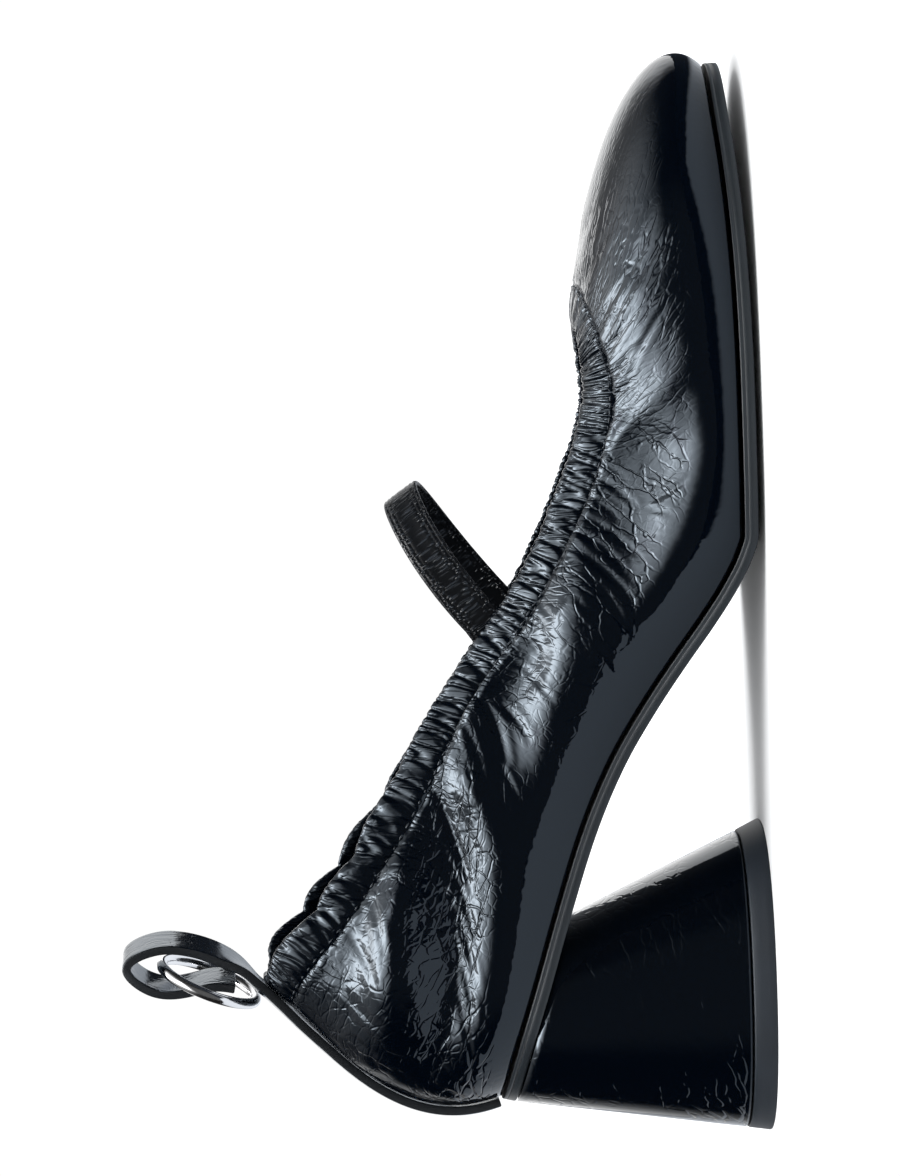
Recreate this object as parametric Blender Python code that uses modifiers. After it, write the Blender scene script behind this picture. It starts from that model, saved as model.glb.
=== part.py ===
"""A gathered patent pump on a flared block heel, with an instep elastic, a pull loop and a ring.

Right shoe, standing on its heel and forefoot. +X runs to the toe, +Y to the inner (medial) side, +Z up.
The origin is the middle of the heel's top piece, on the ground. Tables are in millimetres: "along" is
the distance forward from the back edge of the heel's base, and "height" is above the ground.
"""
from collections import namedtuple
from math import cos, pi, radians, sin

import bmesh
import bpy
import numpy as np
from mathutils import Matrix

MM = 0.001

# Driving dimensions, in millimetres
WALL = 1.8                  # upper: leather, stiffener and lining together
GAP = 0.3                   # what touching pieces keep between them
SOLE = 3.0                  # thickness of the outsole's edge
SOLE_PROUD = 0.6            # how far the outsole's edge stands outside the upper
INSOLE = 1.6
CASING_WIDTH = 9.8          # gathered casing along the collar
CASING_WALL = 2.6
CASING_PROUD = 0.4
SEAM_GAP = 0.5              # between the casing and the upper at the outer face, closing inwards
HEEL_LENGTH = 71.0          # heel at the ground
HEEL_WIDTH = 61.0
HEEL_SEAT = (8.6, 49.6)     # heel under the seat: its back and front, along
HEEL_SEAT_WIDTH = 47.0
HEEL_ROUND = 2.25           # roundness of the heel's section: 2 is an ellipse
TOP_PIECE = 5.2
STRAP_WIDTH = 11.0          # back strip and pull loop, cut as one strap
STRAP_THICK = 2.0
STRAP_START = 0.012         # where the strap begins up the wall, as a share of its height
LOOP_TWIST = radians(15)
LOOP_FREE = 12.0            # length over which the loop leaves the curve of the heel
STEP_OVER = (0.6, 0.8)      # shares of the wall's height where the strap rises over the casing
ELASTIC_WIDTH = 9.0
ELASTIC_THICK = 1.5
ELASTIC_SPAN = 30.0         # between the feet, inside the narrow collar
ELASTIC_SIDE = -0.35        # the arch stands this far to the outer side
ELASTIC_RISE = 33.5
ELASTIC_LEAN = radians(35)  # from the ground, of the arch's plane
ELASTIC_TAIL = 7.0
ELASTIC_SKEW = 5.6          # how far the inner foot stands ahead of the outer one, across the band
ELASTIC_BOW = 1.0           # how far both legs bow up between foot and crown
ELASTIC_FOOT = (120.4, 60.2)
RING_OUTER = 25.5
RING_WIRE = 2.6
RING_PIVOT = (42.6, 137.4)
RING_TILT = radians(23.4)
RING_YAW = radians(10)      # the ring hangs square to the twisted loop

AROUND = 96                 # facets round the shoe
RUNGS = 48                  # facets along the sole
WALL_STEPS = [0.0, 0.05, 0.12, 0.21, 0.31, 0.42, 0.53, 0.65, 0.77, 0.89, 1.0]
CASING_STEPS = [0.0, 0.5, 1.0]
HEEL_FACETS = 56
HEEL_LEVELS = 6
HEEL_END_RINGS = (0.6, 0.25)
STRAP_COLUMNS = 5
SEAM_STEPS = 15
LOOP_STEPS = 42
ARCH_STEPS = 24
RING_FACETS = (36, 10)

Outline = namedtuple("Outline", "name along lateral medial")
Collar = namedtuple("Collar", "name along lateral medial height_lateral height_medial")
Rib = namedtuple("Rib", "name lean wall crown drop")
Profile = namedtuple("Profile", "along height lift")

# Lower edge of the upper, from the back of the heel to the toe: half widths to the two sides
OUTLINE = [
    Outline("heel_back", 9.1, 0.0, 0.0),
    Outline("heel_curve", 14.0, 14.5, 14.5),
    Outline("heel_side", 31.0, 24.2, 24.2),
    Outline("waist_back", 58.0, 24.6, 23.4),
    Outline("waist", 89.0, 25.4, 20.6),
    Outline("shank", 116.0, 31.2, 26.4),
    Outline("ball_back", 143.0, 37.4, 34.6),
    Outline("ball", 168.0, 38.2, 39.0),
    Outline("forepart", 201.0, 33.8, 37.0),
    Outline("toe_side", 227.0, 21.4, 28.4),
    Outline("toe_corner", 237.8, 11.6, 19.6),
    Outline("toe", 243.4, -4.0, 4.0),
]
# Upper edge of the collar at the same places
COLLAR = [
    Collar("heel_back", 38.0, 0.0, 0.0, 114.7, 114.7),
    Collar("heel_curve", 42.0, 8.8, 8.8, 113.8, 114.2),
    Collar("heel_side", 54.5, 15.6, 15.2, 103.0, 104.2),
    Collar("waist_back", 79.5, 17.2, 16.6, 86.4, 85.4),
    Collar("waist", 103.0, 17.6, 17.0, 72.8, 70.8),
    Collar("shank", 124.5, 19.6, 19.0, 57.4, 56.0),
    Collar("ball_back", 144.0, 22.6, 22.8, 47.0, 45.8),
    Collar("ball", 162.0, 22.8, 24.4, 40.4, 38.6),
    Collar("forepart", 175.0, 19.8, 22.0, 39.0, 37.4),
    Collar("toe_side", 182.6, 10.8, 14.2, 39.1, 38.3),
    Collar("toe_corner", 184.7, 3.2, 7.6, 39.2, 39.0),
    Collar("toe", 185.1, -2.0, 2.0, 39.2, 39.2),
]
# Shape of the wall between the two edges, as a curve with two handles: the lower one leans outwards
# from upright by lean and is wall long, the upper one falls from level by drop and is crown long
RIBS = [
    Rib("heel_back", 20.0, 27.0, 16.0, 51.0),
    Rib("heel_curve", 21.0, 25.0, 20.0, 58.0),
    Rib("heel_side", 23.0, 20.0, 26.0, 74.0),
    Rib("waist_back", 22.0, 19.0, 26.0, 74.0),
    Rib("waist", 23.0, 24.0, 26.0, 68.0),
    Rib("shank", 20.5, 25.5, 21.0, 58.0),
    Rib("ball_back", 26.0, 15.5, 25.0, 65.0),
    Rib("ball", 27.0, 9.5, 25.0, 54.0),
    Rib("forepart", 34.0, 15.5, 14.0, 23.0),
    Rib("toe_side", 41.0, 20.0, 28.5, 7.0),
    Rib("toe_corner", 45.5, 19.6, 33.0, 3.4),
    Rib("toe", 46.5, 19.7, 34.6, 2.0),
]
# Underside of the outsole along its middle, and how far its edges are lifted above that
SOLE_PROFILE = [
    Profile(4.0, 59.2, 0.0),
    Profile(20.0, 55.1, 0.0),
    Profile(36.0, 50.2, 0.0),
    Profile(54.0, 44.5, 0.0),
    Profile(72.0, 38.1, 0.0),
    Profile(86.0, 31.6, 0.0),
    Profile(98.0, 24.2, 0.1),
    Profile(108.0, 17.1, 0.3),
    Profile(116.0, 11.0, 0.6),
    Profile(124.0, 5.4, 1.0),
    Profile(130.5, 1.8, 1.3),
    Profile(136.0, 0.0, 1.5),
    Profile(171.0, 0.0, 1.5),
    Profile(188.0, 0.2, 1.5),
    Profile(205.0, 0.8, 1.4),
    Profile(221.0, 1.9, 1.1),
    Profile(233.0, 3.2, 0.6),
    Profile(246.0, 4.2, 0.0),
]
FLAT_TREAD = 0.35           # middle share of the sole's half width that stays level
OUTSOLE_COLUMNS = [-1.0, -0.86, -0.66, -FLAT_TREAD, 0.0, FLAT_TREAD, 0.66, 0.86, 1.0]
INSOLE_COLUMNS = [-1.0, -0.7, -FLAT_TREAD, 0.0, FLAT_TREAD, 0.7, 1.0]
# Middle line of the pull loop from the top of the back strip round to its stitched end
LOOP = [
    (40.6, 119.2),
    (44.6, 125.0),
    (47.1, 132.8),
    (47.0, 139.6),
    (43.4, 145.3),
    (39.1, 141.8),
    (37.2, 136.0),
    (37.7, 130.6),
    (38.6, 125.4),
    (38.0, 120.9),
]


def rows(table, column):
    return np.array([getattr(row, column) for row in table], float)


def around(lateral, medial):
    """One closed run of values: heel, lateral side, toe, medial side."""
    return np.concatenate([lateral, medial[-2:0:-1]])


def spline_slopes(knots, values, period=None):
    """Slopes of the smooth cubic curve through the values: closed if a period is given, else natural."""
    count = len(knots)
    system = np.zeros((count, count))
    right = np.zeros(count)
    closed = period is not None
    for i in range(count):
        ends = i in (0, count - 1)
        if ends and not closed:
            j = 1 if i == 0 else count - 2
            system[i, i] = 2.0
            system[i, j] = 1.0
            right[i] = 3.0 * (values[j] - values[i]) / (knots[j] - knots[i])
            continue
        before = i - 1
        after = (i + 1) % count
        step_in = (knots[i] - knots[before]) % period if closed else knots[i] - knots[before]
        step_out = (knots[after] - knots[i]) % period if closed else knots[after] - knots[i]
        system[i, before] = 1.0 / step_in
        system[i, i] = 2.0 / step_in + 2.0 / step_out
        system[i, after] = 1.0 / step_out
        rise_in = (values[i] - values[before]) / step_in ** 2
        rise_out = (values[after] - values[i]) / step_out ** 2
        right[i] = 3.0 * (rise_in + rise_out)
    return np.linalg.solve(system, right)


def level_slopes(knots, values):
    """Slopes that never overshoot: level where the values turn or rest."""
    steps = np.diff(knots)
    rises = np.diff(values) / steps
    slopes = np.zeros(len(knots))
    slopes[0] = rises[0]
    slopes[-1] = rises[-1]
    for i in range(1, len(knots) - 1):
        if rises[i - 1] * rises[i] > 0:
            first = 2.0 * steps[i] + steps[i - 1]
            second = steps[i] + 2.0 * steps[i - 1]
            slopes[i] = (first + second) / (first / rises[i - 1] + second / rises[i])
    return slopes


def hermite(knots, values, slopes, at):
    """Read the cubic curve with these slopes at the places given."""
    at = np.asarray(at, float)
    i = np.clip(np.searchsorted(knots, at, side="right") - 1, 0, len(knots) - 2)
    step = knots[i + 1] - knots[i]
    f = (at - knots[i]) / step
    start = values[i] * (1 + 2 * f) * (1 - f) ** 2 + slopes[i] * step * f * (1 - f) ** 2
    end = values[i + 1] * f ** 2 * (3 - 2 * f) - slopes[i + 1] * step * f ** 2 * (1 - f)
    return start + end


SOLE_ALONG = rows(SOLE_PROFILE, "along")
SOLE_HEIGHT = rows(SOLE_PROFILE, "height")
SOLE_LIFT = rows(SOLE_PROFILE, "lift")
SOLE_HEIGHT_SLOPES = level_slopes(SOLE_ALONG, SOLE_HEIGHT)
SOLE_LIFT_SLOPES = level_slopes(SOLE_ALONG, SOLE_LIFT)


def underside(along, across):
    """Height of the outsole's underside; across runs from -1 to 1 between its edges."""
    middle = hermite(SOLE_ALONG, SOLE_HEIGHT, SOLE_HEIGHT_SLOPES, along)
    lift = hermite(SOLE_ALONG, SOLE_LIFT, SOLE_LIFT_SLOPES, along)
    out = np.maximum(0.0, (np.abs(across) - FLAT_TREAD) / (1 - FLAT_TREAD))
    return middle + lift * out ** 2


def above(along, across, height):
    """A place's along and height when raised square to the underside by height."""
    low = underside(along, across)
    slope = underside(along + 0.5, across) - underside(along - 0.5, across)
    size = np.sqrt(1 + slope ** 2)
    return along - slope * height / size, low + height / size


EDGE_ALONG = around(rows(OUTLINE, "along"), rows(OUTLINE, "along"))
EDGE_ACROSS = around(-rows(OUTLINE, "lateral"), rows(OUTLINE, "medial"))
CHORDS = np.hypot(np.roll(EDGE_ALONG, -1) - EDGE_ALONG, np.roll(EDGE_ACROSS, -1) - EDGE_ACROSS)
KNOTS = np.concatenate([[0.0], np.cumsum(CHORDS)[:-1]])
GIRTH = float(np.sum(CHORDS))
TOE_AT = float(KNOTS[len(OUTLINE) - 1])


def closed_curve(values):
    """A smooth closed curve through one value for each station, as a function of the way round."""
    slopes = spline_slopes(KNOTS, values, GIRTH)
    knots = np.append(KNOTS, GIRTH)
    values = np.append(values, values[0])
    slopes = np.append(slopes, slopes[0])
    return lambda s: hermite(knots, values, slopes, np.mod(s, GIRTH))


def rib_column(name):
    column = rows(RIBS, name)
    return closed_curve(around(column, column))


edge_along = closed_curve(EDGE_ALONG)
edge_across = closed_curve(EDGE_ACROSS)
collar_along = closed_curve(around(rows(COLLAR, "along"), rows(COLLAR, "along")))
collar_across = closed_curve(around(-rows(COLLAR, "lateral"), rows(COLLAR, "medial")))
collar_height = closed_curve(around(rows(COLLAR, "height_lateral"), rows(COLLAR, "height_medial")))
rib_lean = rib_column("lean")
rib_wall = rib_column("wall")
rib_crown = rib_column("crown")
rib_drop = rib_column("drop")


def outward(along, across, s):
    """Unit direction pointing out of the shoe in plan, square to a closed curve."""
    step = 0.5
    run = along(s + step) - along(s - step)
    side = across(s + step) - across(s - step)
    size = np.hypot(run, side)
    return side / size, -run / size


def edge_point(s, out=0.0):
    """The lower edge in plan, moved outwards by out."""
    nx, ny = outward(edge_along, edge_across, s)
    return edge_along(s) + nx * out, edge_across(s) + ny * out


def shoe(s, v):
    """Outer surface of the upper: s runs round the shoe, v from 0 at the sole to 1 at the collar."""
    s = np.asarray(s, float)
    v = np.asarray(v, float)
    along, ey = edge_point(s)
    ex, ez = above(along, 1.0, SOLE + GAP)
    enx, eny = outward(edge_along, edge_across, s)
    cx = collar_along(s)
    cy = collar_across(s)
    cz = collar_height(s)
    cnx, cny = outward(collar_along, collar_across, s)
    lean = np.radians(rib_lean(s))
    drop = np.radians(rib_drop(s))
    wall = rib_wall(s)
    crown = rib_crown(s)
    low = (ex + enx * wall * np.sin(lean), ey + eny * wall * np.sin(lean), ez + wall * np.cos(lean))
    high = (cx + cnx * crown * np.cos(drop), cy + cny * crown * np.cos(drop), cz - crown * np.sin(drop))
    weights = ((1 - v) ** 3, 3 * v * (1 - v) ** 2, 3 * v ** 2 * (1 - v), v ** 3)
    point = [
        weights[0] * a + weights[1] * b + weights[2] * c + weights[3] * d
        for a, b, c, d in zip((ex, ey, ez), low, high, (cx, cy, cz))
    ]
    return np.stack(point, axis=-1)


def v_below_collar(s, distance):
    """The v at a distance below the collar's edge, measured down the wall."""
    steps = np.linspace(1.0, 0.0, 161)
    path = shoe(np.full(len(steps), s), steps)
    length = np.concatenate([[0.0], np.cumsum(np.linalg.norm(np.diff(path, axis=0), axis=1))])
    return float(np.interp(distance, length, steps))


def place(point):
    """From table coordinates in millimetres to the model's frame in metres."""
    return ((point[0] - HEEL_LENGTH / 2) * MM, point[1] * MM, point[2] * MM)


def material(name, colour, roughness, metallic=0.0, coat=0.0):
    made = bpy.data.materials.new(name)
    made.use_nodes = True
    shader = made.node_tree.nodes["Principled BSDF"]
    shader.inputs["Base Color"].default_value = (*colour, 1.0)
    shader.inputs["Roughness"].default_value = roughness
    shader.inputs["Metallic"].default_value = metallic
    shader.inputs["Coat Weight"].default_value = coat
    return made


def finish(name, mesh_data, surface, smooth_angle=radians(40)):
    """Turn a bmesh into a named object in the pump's collection."""
    mesh = bpy.data.meshes.new(name)
    mesh_data.to_mesh(mesh)
    mesh_data.free()
    mesh.shade_smooth()
    mesh.set_sharp_from_angle(angle=smooth_angle)
    piece = bpy.data.objects.new(name, mesh)
    piece.data.materials.append(surface)
    pump.objects.link(piece)
    return piece


def grid(points, closed):
    """A sheet of quads through rows of points; closed joins each row's end to its start."""
    sheet = bmesh.new()
    lines = [[sheet.verts.new(place(point)) for point in line] for line in points]
    for low, high in zip(lines, lines[1:]):
        count = len(low)
        for i in range(count if closed else count - 1):
            j = (i + 1) % count
            sheet.faces.new((low[i], low[j], high[j], high[i]))
    sheet.normal_update()
    return sheet


def solidify(piece, thickness, offset):
    shell = piece.modifiers.new("wall", "SOLIDIFY")
    shell.thickness = thickness * MM
    shell.offset = offset
    shell.use_even_offset = True
    return piece


def wall_piece(name, low, high, steps, surface):
    """A band of the shoe's outer surface between two v values given for each way round."""
    stations = np.linspace(0.0, GIRTH, AROUND, endpoint=False)
    lows = np.array([low(s) for s in stations])
    highs = np.array([high(s) for s in stations])
    lines = [shoe(stations, lows + (highs - lows) * step) for step in steps]
    return finish(name, grid(lines, closed=True), surface)


def make_upper():
    def top(s):
        return v_below_collar(s, CASING_WIDTH + SEAM_GAP)

    upper = wall_piece("upper", lambda s: 0.0, top, WALL_STEPS, PATENT)
    return solidify(upper, WALL, -1.0)


def make_collar_casing():
    def seam(s):
        return v_below_collar(s, CASING_WIDTH)

    casing = wall_piece("collar_casing", seam, lambda s: 1.0, CASING_STEPS, PATENT)
    return solidify(casing, CASING_WALL, 2 * CASING_PROUD / CASING_WALL - 1)


def sole_plate(name, out, low, high, columns, surface):
    """A plate between two heights above the underside, inside the lower edge moved out by out."""
    plate = bmesh.new()
    shares = np.linspace(0.0, 1.0, RUNGS + 1)
    layers = []
    for height in (low, high):
        rungs = []
        for share in shares:
            lateral = edge_point(share * TOE_AT, out)
            medial = edge_point(GIRTH - share * (GIRTH - TOE_AT), out)
            ends = share in (0.0, 1.0)
            rung = []
            for across in ([1.0] if ends else columns):
                f = (across + 1) / 2
                along = lateral[0] + (medial[0] - lateral[0]) * f
                side = lateral[1] + (medial[1] - lateral[1]) * f
                raised, level = above(along, across, height)
                rung.append(plate.verts.new(place((raised, side, level))))
            rungs.append(rung)
        layers.append(rungs)
    bottom, top = layers
    for rungs, upward in ((bottom, False), (top, True)):
        for near, far in zip(rungs, rungs[1:]):
            for i in range(len(columns) - 1):
                corners = [near[min(i, len(near) - 1)], far[min(i, len(far) - 1)]]
                corners += [far[min(i + 1, len(far) - 1)], near[min(i + 1, len(near) - 1)]]
                corners = list(dict.fromkeys(corners))
                plate.faces.new(corners if upward else corners[::-1])
    for side in (0, -1):
        for i in range(RUNGS):
            corners = [bottom[i][side], bottom[i + 1][side], top[i + 1][side], top[i][side]]
            plate.faces.new(corners if side == 0 else corners[::-1])
    return finish(name, plate, surface)


def make_outsole():
    return sole_plate("outsole", SOLE_PROUD, 0.0, SOLE, OUTSOLE_COLUMNS, EDGE_PAINT)


def make_insole():
    low = SOLE + 1.5 * GAP
    return sole_plate("insole", -WALL - 2 * GAP, low, low + INSOLE, INSOLE_COLUMNS, LINING)


def heel_outline(back, front, width, height):
    """A rounded outline of the heel between two places along, at a height given for each place."""
    middle = (back + front) / 2
    ring = []
    for i in range(HEEL_FACETS):
        turn = 2 * pi * i / HEEL_FACETS
        across = np.copysign(abs(sin(turn)) ** (2 / HEEL_ROUND), sin(turn))
        forward = np.copysign(abs(cos(turn)) ** (2 / HEEL_ROUND), cos(turn))
        along = middle + (front - back) / 2 * forward
        ring.append(np.array([along, width / 2 * across, height(along)]))
    return ring


def under_seat(along):
    return float(underside(along, 0.0)) - GAP


def heel_seat():
    return heel_outline(*HEEL_SEAT, HEEL_SEAT_WIDTH, under_seat)


def heel_level(height):
    """The heel's outline at one height above the ground."""
    ground = heel_outline(0.0, HEEL_LENGTH, HEEL_WIDTH, lambda along: 0.0)
    return [low + (seat - low) * (height / seat[2]) for low, seat in zip(ground, heel_seat())]


def table_place(vert):
    """From the model's frame back to table coordinates in millimetres."""
    x, y, z = vert.co
    return np.array([x / MM + HEEL_LENGTH / 2, y / MM, z / MM])


def close_end(body, ring, height, flip):
    """Close an end of the heel with smaller rings and a middle point at the heights given."""
    middle = np.mean([table_place(vert) for vert in ring], axis=0)
    last = ring
    for share in HEEL_END_RINGS:
        inner = []
        for vert in ring:
            spot = middle + (table_place(vert) - middle) * share
            inner.append(body.verts.new(place((spot[0], spot[1], height(spot[0])))))
        for i in range(len(ring)):
            j = (i + 1) % len(ring)
            corners = (last[i], last[j], inner[j], inner[i])
            body.faces.new(corners if flip else corners[::-1])
        last = inner
    tip = body.verts.new(place((middle[0], middle[1], height(middle[0]))))
    for i in range(len(ring)):
        corners = (last[i], last[(i + 1) % len(ring)], tip)
        body.faces.new(corners if flip else corners[::-1])


def make_heel():
    foot_height = TOP_PIECE + GAP
    foot = heel_level(foot_height)
    lines = []
    for share in np.linspace(0.0, 1.0, HEEL_LEVELS):
        lines.append([low + (high - low) * share for low, high in zip(foot, heel_seat())])
    body = grid(lines, closed=True)
    body.verts.ensure_lookup_table()
    foot_ring = body.verts[:HEEL_FACETS]
    seat_ring = body.verts[-HEEL_FACETS:]
    close_end(body, foot_ring, lambda along: foot_height, False)
    close_end(body, seat_ring, under_seat, True)
    return finish("heel", body, PATENT)


def make_top_piece():
    body = grid([heel_level(0.0), heel_level(TOP_PIECE)], closed=True)
    body.verts.ensure_lookup_table()
    body.faces.new(body.verts[:HEEL_FACETS][::-1])
    body.faces.new(body.verts[HEEL_FACETS:])
    return finish("top_piece", body, RUBBER)


def ease(share):
    """A smooth step from 0 to 1."""
    share = min(1.0, max(0.0, share))
    return share * share * (3 - 2 * share)


def seam_lines(offsets):
    """Cross lines of the strap where it lies on the upper's back seam and steps over the casing."""
    nearby = np.linspace(-1.5 * STRAP_WIDTH, 1.5 * STRAP_WIDTH, 65)
    lines = []
    for v in np.linspace(STRAP_START, 1.0, SEAM_STEPS):
        over = ease((v - STEP_OVER[0]) / (STEP_OVER[1] - STEP_OVER[0]))
        lift = GAP + STRAP_THICK / 2 + CASING_PROUD * over
        points = shoe(nearby, np.full(len(nearby), v))
        ahead = shoe(nearby, np.full(len(nearby), v + 0.01))
        normals = np.cross(np.gradient(points, axis=0), ahead - points)
        points = points + normals / np.linalg.norm(normals, axis=1)[:, None] * lift
        along, across, height = points[np.argsort(points[:, 1])].T
        lines.append([(np.interp(y, across, along), y, np.interp(y, across, height)) for y in offsets])
    return lines


def make_back_strip():
    """One strap: up the back seam, over into the pull loop, and down to its stitched end."""
    offsets = np.linspace(-STRAP_WIDTH / 2, STRAP_WIDTH / 2, STRAP_COLUMNS)
    lines = seam_lines(offsets)
    top = lines[-1]
    centre = top[STRAP_COLUMNS // 2]
    sag = [point[0] - centre[0] for point in top]
    fall = [point[2] - centre[2] for point in top]
    last_on_seam = [line[STRAP_COLUMNS // 2] for line in lines[-3:]]
    path = np.array([(point[0], point[2]) for point in last_on_seam] + LOOP)
    knots = np.concatenate([[0.0], np.cumsum(np.hypot(*np.diff(path, axis=0).T))])
    slopes = [spline_slopes(knots, path[:, axis]) for axis in (0, 1)]
    leaving = knots[len(last_on_seam) - 1]
    for way in np.linspace(leaving, knots[-1], LOOP_STEPS + 1)[1:]:
        x, z = (float(hermite(knots, path[:, axis], slopes[axis], way)) for axis in (0, 1))
        free = ease((way - leaving) / LOOP_FREE)
        twist = LOOP_TWIST * free
        held = 1 - free
        line = []
        for y, back, down in zip(offsets, sag, fall):
            line.append((x + back * held + y * sin(twist), y * cos(twist), z + down * held))
        lines.append(line)
    strip = finish("back_strip", grid(lines, closed=False), PATENT)
    return solidify(strip, STRAP_THICK, 0.0)


def make_instep_strap():
    """A flat elastic bent into a leaning arch, its tails inside the collar."""
    along = np.array([cos(ELASTIC_LEAN), 0.0, sin(ELASTIC_LEAN)])
    across = np.array([-sin(ELASTIC_LEAN), 0.0, cos(ELASTIC_LEAN)])
    side = np.array([0.0, 1.0, 0.0])
    foot = np.array([ELASTIC_FOOT[0], ELASTIC_SIDE, ELASTIC_FOOT[1]])
    half = ELASTIC_SPAN / 2
    tail = along * ELASTIC_TAIL
    path = [foot - side * half - tail * share for share in (1.0, 0.5)]
    for turn in np.linspace(0.0, pi, ARCH_STEPS + 1):
        bow = across * ELASTIC_BOW * 4 * sin(turn) * (1 - sin(turn))
        path.append(foot - side * half * cos(turn) + along * ELASTIC_RISE * sin(turn) + bow)
    path += [foot + side * half - tail * share for share in (0.5, 1.0)]
    path = [point - across * ELASTIC_SKEW * (point[1] - ELASTIC_SIDE) / ELASTIC_SPAN for point in path]
    lines = [[point + across * ELASTIC_WIDTH * share for share in (-0.5, 0.0, 0.5)] for point in path]
    strap = finish("instep_strap", grid(lines, closed=False), ELASTIC)
    return solidify(strap, ELASTIC_THICK, 0.0)


def make_ring():
    """The ring turns about its own wire where that hangs inside the pull loop."""
    radius = (RING_OUTER - RING_WIRE) / 2 * MM
    bpy.ops.mesh.primitive_torus_add(
        major_radius=radius, minor_radius=RING_WIRE / 2 * MM,
        major_segments=RING_FACETS[0], minor_segments=RING_FACETS[1])
    ring = bpy.context.object
    ring.name = "ring"
    ring.data.name = "ring"
    ring.data.transform(Matrix.Translation((-radius, 0, 0)))
    ring.location = place((RING_PIVOT[0], 0.0, RING_PIVOT[1]))
    ring.rotation_euler = (0.0, RING_TILT - pi / 2, -RING_YAW)
    ring.data.shade_smooth()
    ring.data.materials.append(SILVER)
    for owner in ring.users_collection:
        owner.objects.unlink(ring)
    pump.objects.link(ring)
    return ring


for old in list(bpy.data.objects):
    bpy.data.objects.remove(old)

pump = bpy.data.collections.new("pump")
bpy.context.scene.collection.children.link(pump)

PATENT = material("patent_leather", (0.006, 0.008, 0.012), 0.12, coat=1.0)
EDGE_PAINT = material("painted_edge", (0.016, 0.020, 0.026), 0.45)
RUBBER = material("heel_rubber", (0.018, 0.022, 0.028), 0.6)
LINING = material("lining_leather", (0.012, 0.012, 0.014), 0.7)
ELASTIC = material("ribbed_elastic", (0.010, 0.011, 0.013), 0.85)
SILVER = material("polished_silver", (0.80, 0.80, 0.82), 0.12, metallic=1.0)

make_outsole()
make_upper()
make_insole()
make_collar_casing()
make_heel()
make_top_piece()
make_back_strip()
make_instep_strap()
make_ring()
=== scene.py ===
# %% [markdown]
# # A gathered patent pump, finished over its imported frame
# The construction is already made and packed: nine solids that stand, swing and collide. This lesson
# makes what the eye sees. Every soft piece gets a fine skin shaped by the same few sizes as its solid,
# so that the skin lies where the solid lies. We load the frame first and keep its box, because the
# finished shoe must not outgrow it.

from collections import namedtuple
from math import cos, degrees, pi, radians, sin

import bmesh
import bpy
import numpy as np
from mathutils import Matrix, Vector, noise


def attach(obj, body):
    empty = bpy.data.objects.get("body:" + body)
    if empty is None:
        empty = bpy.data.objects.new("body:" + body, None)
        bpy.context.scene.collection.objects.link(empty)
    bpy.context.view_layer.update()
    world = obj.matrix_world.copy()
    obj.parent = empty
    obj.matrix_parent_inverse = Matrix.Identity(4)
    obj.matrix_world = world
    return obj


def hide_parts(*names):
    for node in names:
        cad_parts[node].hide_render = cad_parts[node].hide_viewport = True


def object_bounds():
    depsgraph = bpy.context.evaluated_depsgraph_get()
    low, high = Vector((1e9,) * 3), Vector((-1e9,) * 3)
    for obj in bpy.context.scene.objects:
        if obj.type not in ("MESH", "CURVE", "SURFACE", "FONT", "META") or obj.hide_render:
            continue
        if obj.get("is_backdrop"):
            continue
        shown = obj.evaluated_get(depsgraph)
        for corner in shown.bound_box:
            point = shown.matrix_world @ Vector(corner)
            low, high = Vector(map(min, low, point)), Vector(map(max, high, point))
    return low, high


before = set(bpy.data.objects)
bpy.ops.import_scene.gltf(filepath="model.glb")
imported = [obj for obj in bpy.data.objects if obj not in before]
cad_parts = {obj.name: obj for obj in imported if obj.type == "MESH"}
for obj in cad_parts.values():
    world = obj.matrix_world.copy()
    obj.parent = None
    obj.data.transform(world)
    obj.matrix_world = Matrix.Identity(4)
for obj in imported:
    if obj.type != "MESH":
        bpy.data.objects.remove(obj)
cad_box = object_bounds()
MM = 0.001
print("nodes:", ", ".join(sorted(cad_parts)))
print("box in mm:", [[round(c / MM, 1) for c in corner] for corner in cad_box])

# %% [markdown]
# ## The last, as rows of sizes
# A shoemaker keeps a last's shape as widths and heights at named stations, and so do we. Each row
# names a station from the back of the heel to the toe. "Along" is the distance forward from the back
# edge of the heel's base, heights are above the ground, and all of it is in millimetres. One smooth
# closed curve through such a column gives every place between the stations.

# %% Sizes of the shoe
SOLE = 3.0
GAP = 0.3
WALL = 1.8
INSOLE = 1.6
SOLE_PROUD = 0.6
CASING_WIDTH = 9.8
CASING_WALL = 2.6
CASING_PROUD = 0.4
HEEL_LENGTH = 71.0
HEEL_WIDTH = 61.0
HEEL_SEAT = (8.6, 49.6)
HEEL_SEAT_WIDTH = 47.0
HEEL_ROUND = 2.25
TOP_PIECE = 5.2
FLAT_TREAD = 0.35

Outline = namedtuple("Outline", "name along lateral medial")
Collar = namedtuple("Collar", "name along lateral medial height_lateral height_medial")
Rib = namedtuple("Rib", "name lean wall crown drop")
Profile = namedtuple("Profile", "along height lift")

# Lower edge of the upper: half widths to the outer and the inner side
OUTLINE = [
    Outline("heel_back", 9.1, 0.0, 0.0),
    Outline("heel_curve", 14.0, 14.5, 14.5),
    Outline("heel_side", 31.0, 24.2, 24.2),
    Outline("waist_back", 58.0, 24.6, 23.4),
    Outline("waist", 89.0, 25.4, 20.6),
    Outline("shank", 116.0, 31.2, 26.4),
    Outline("ball_back", 143.0, 37.4, 34.6),
    Outline("ball", 168.0, 38.2, 39.0),
    Outline("forepart", 201.0, 33.8, 37.0),
    Outline("toe_side", 227.0, 21.4, 28.4),
    Outline("toe_corner", 237.8, 11.6, 19.6),
    Outline("toe", 243.4, -4.0, 4.0),
]
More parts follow.
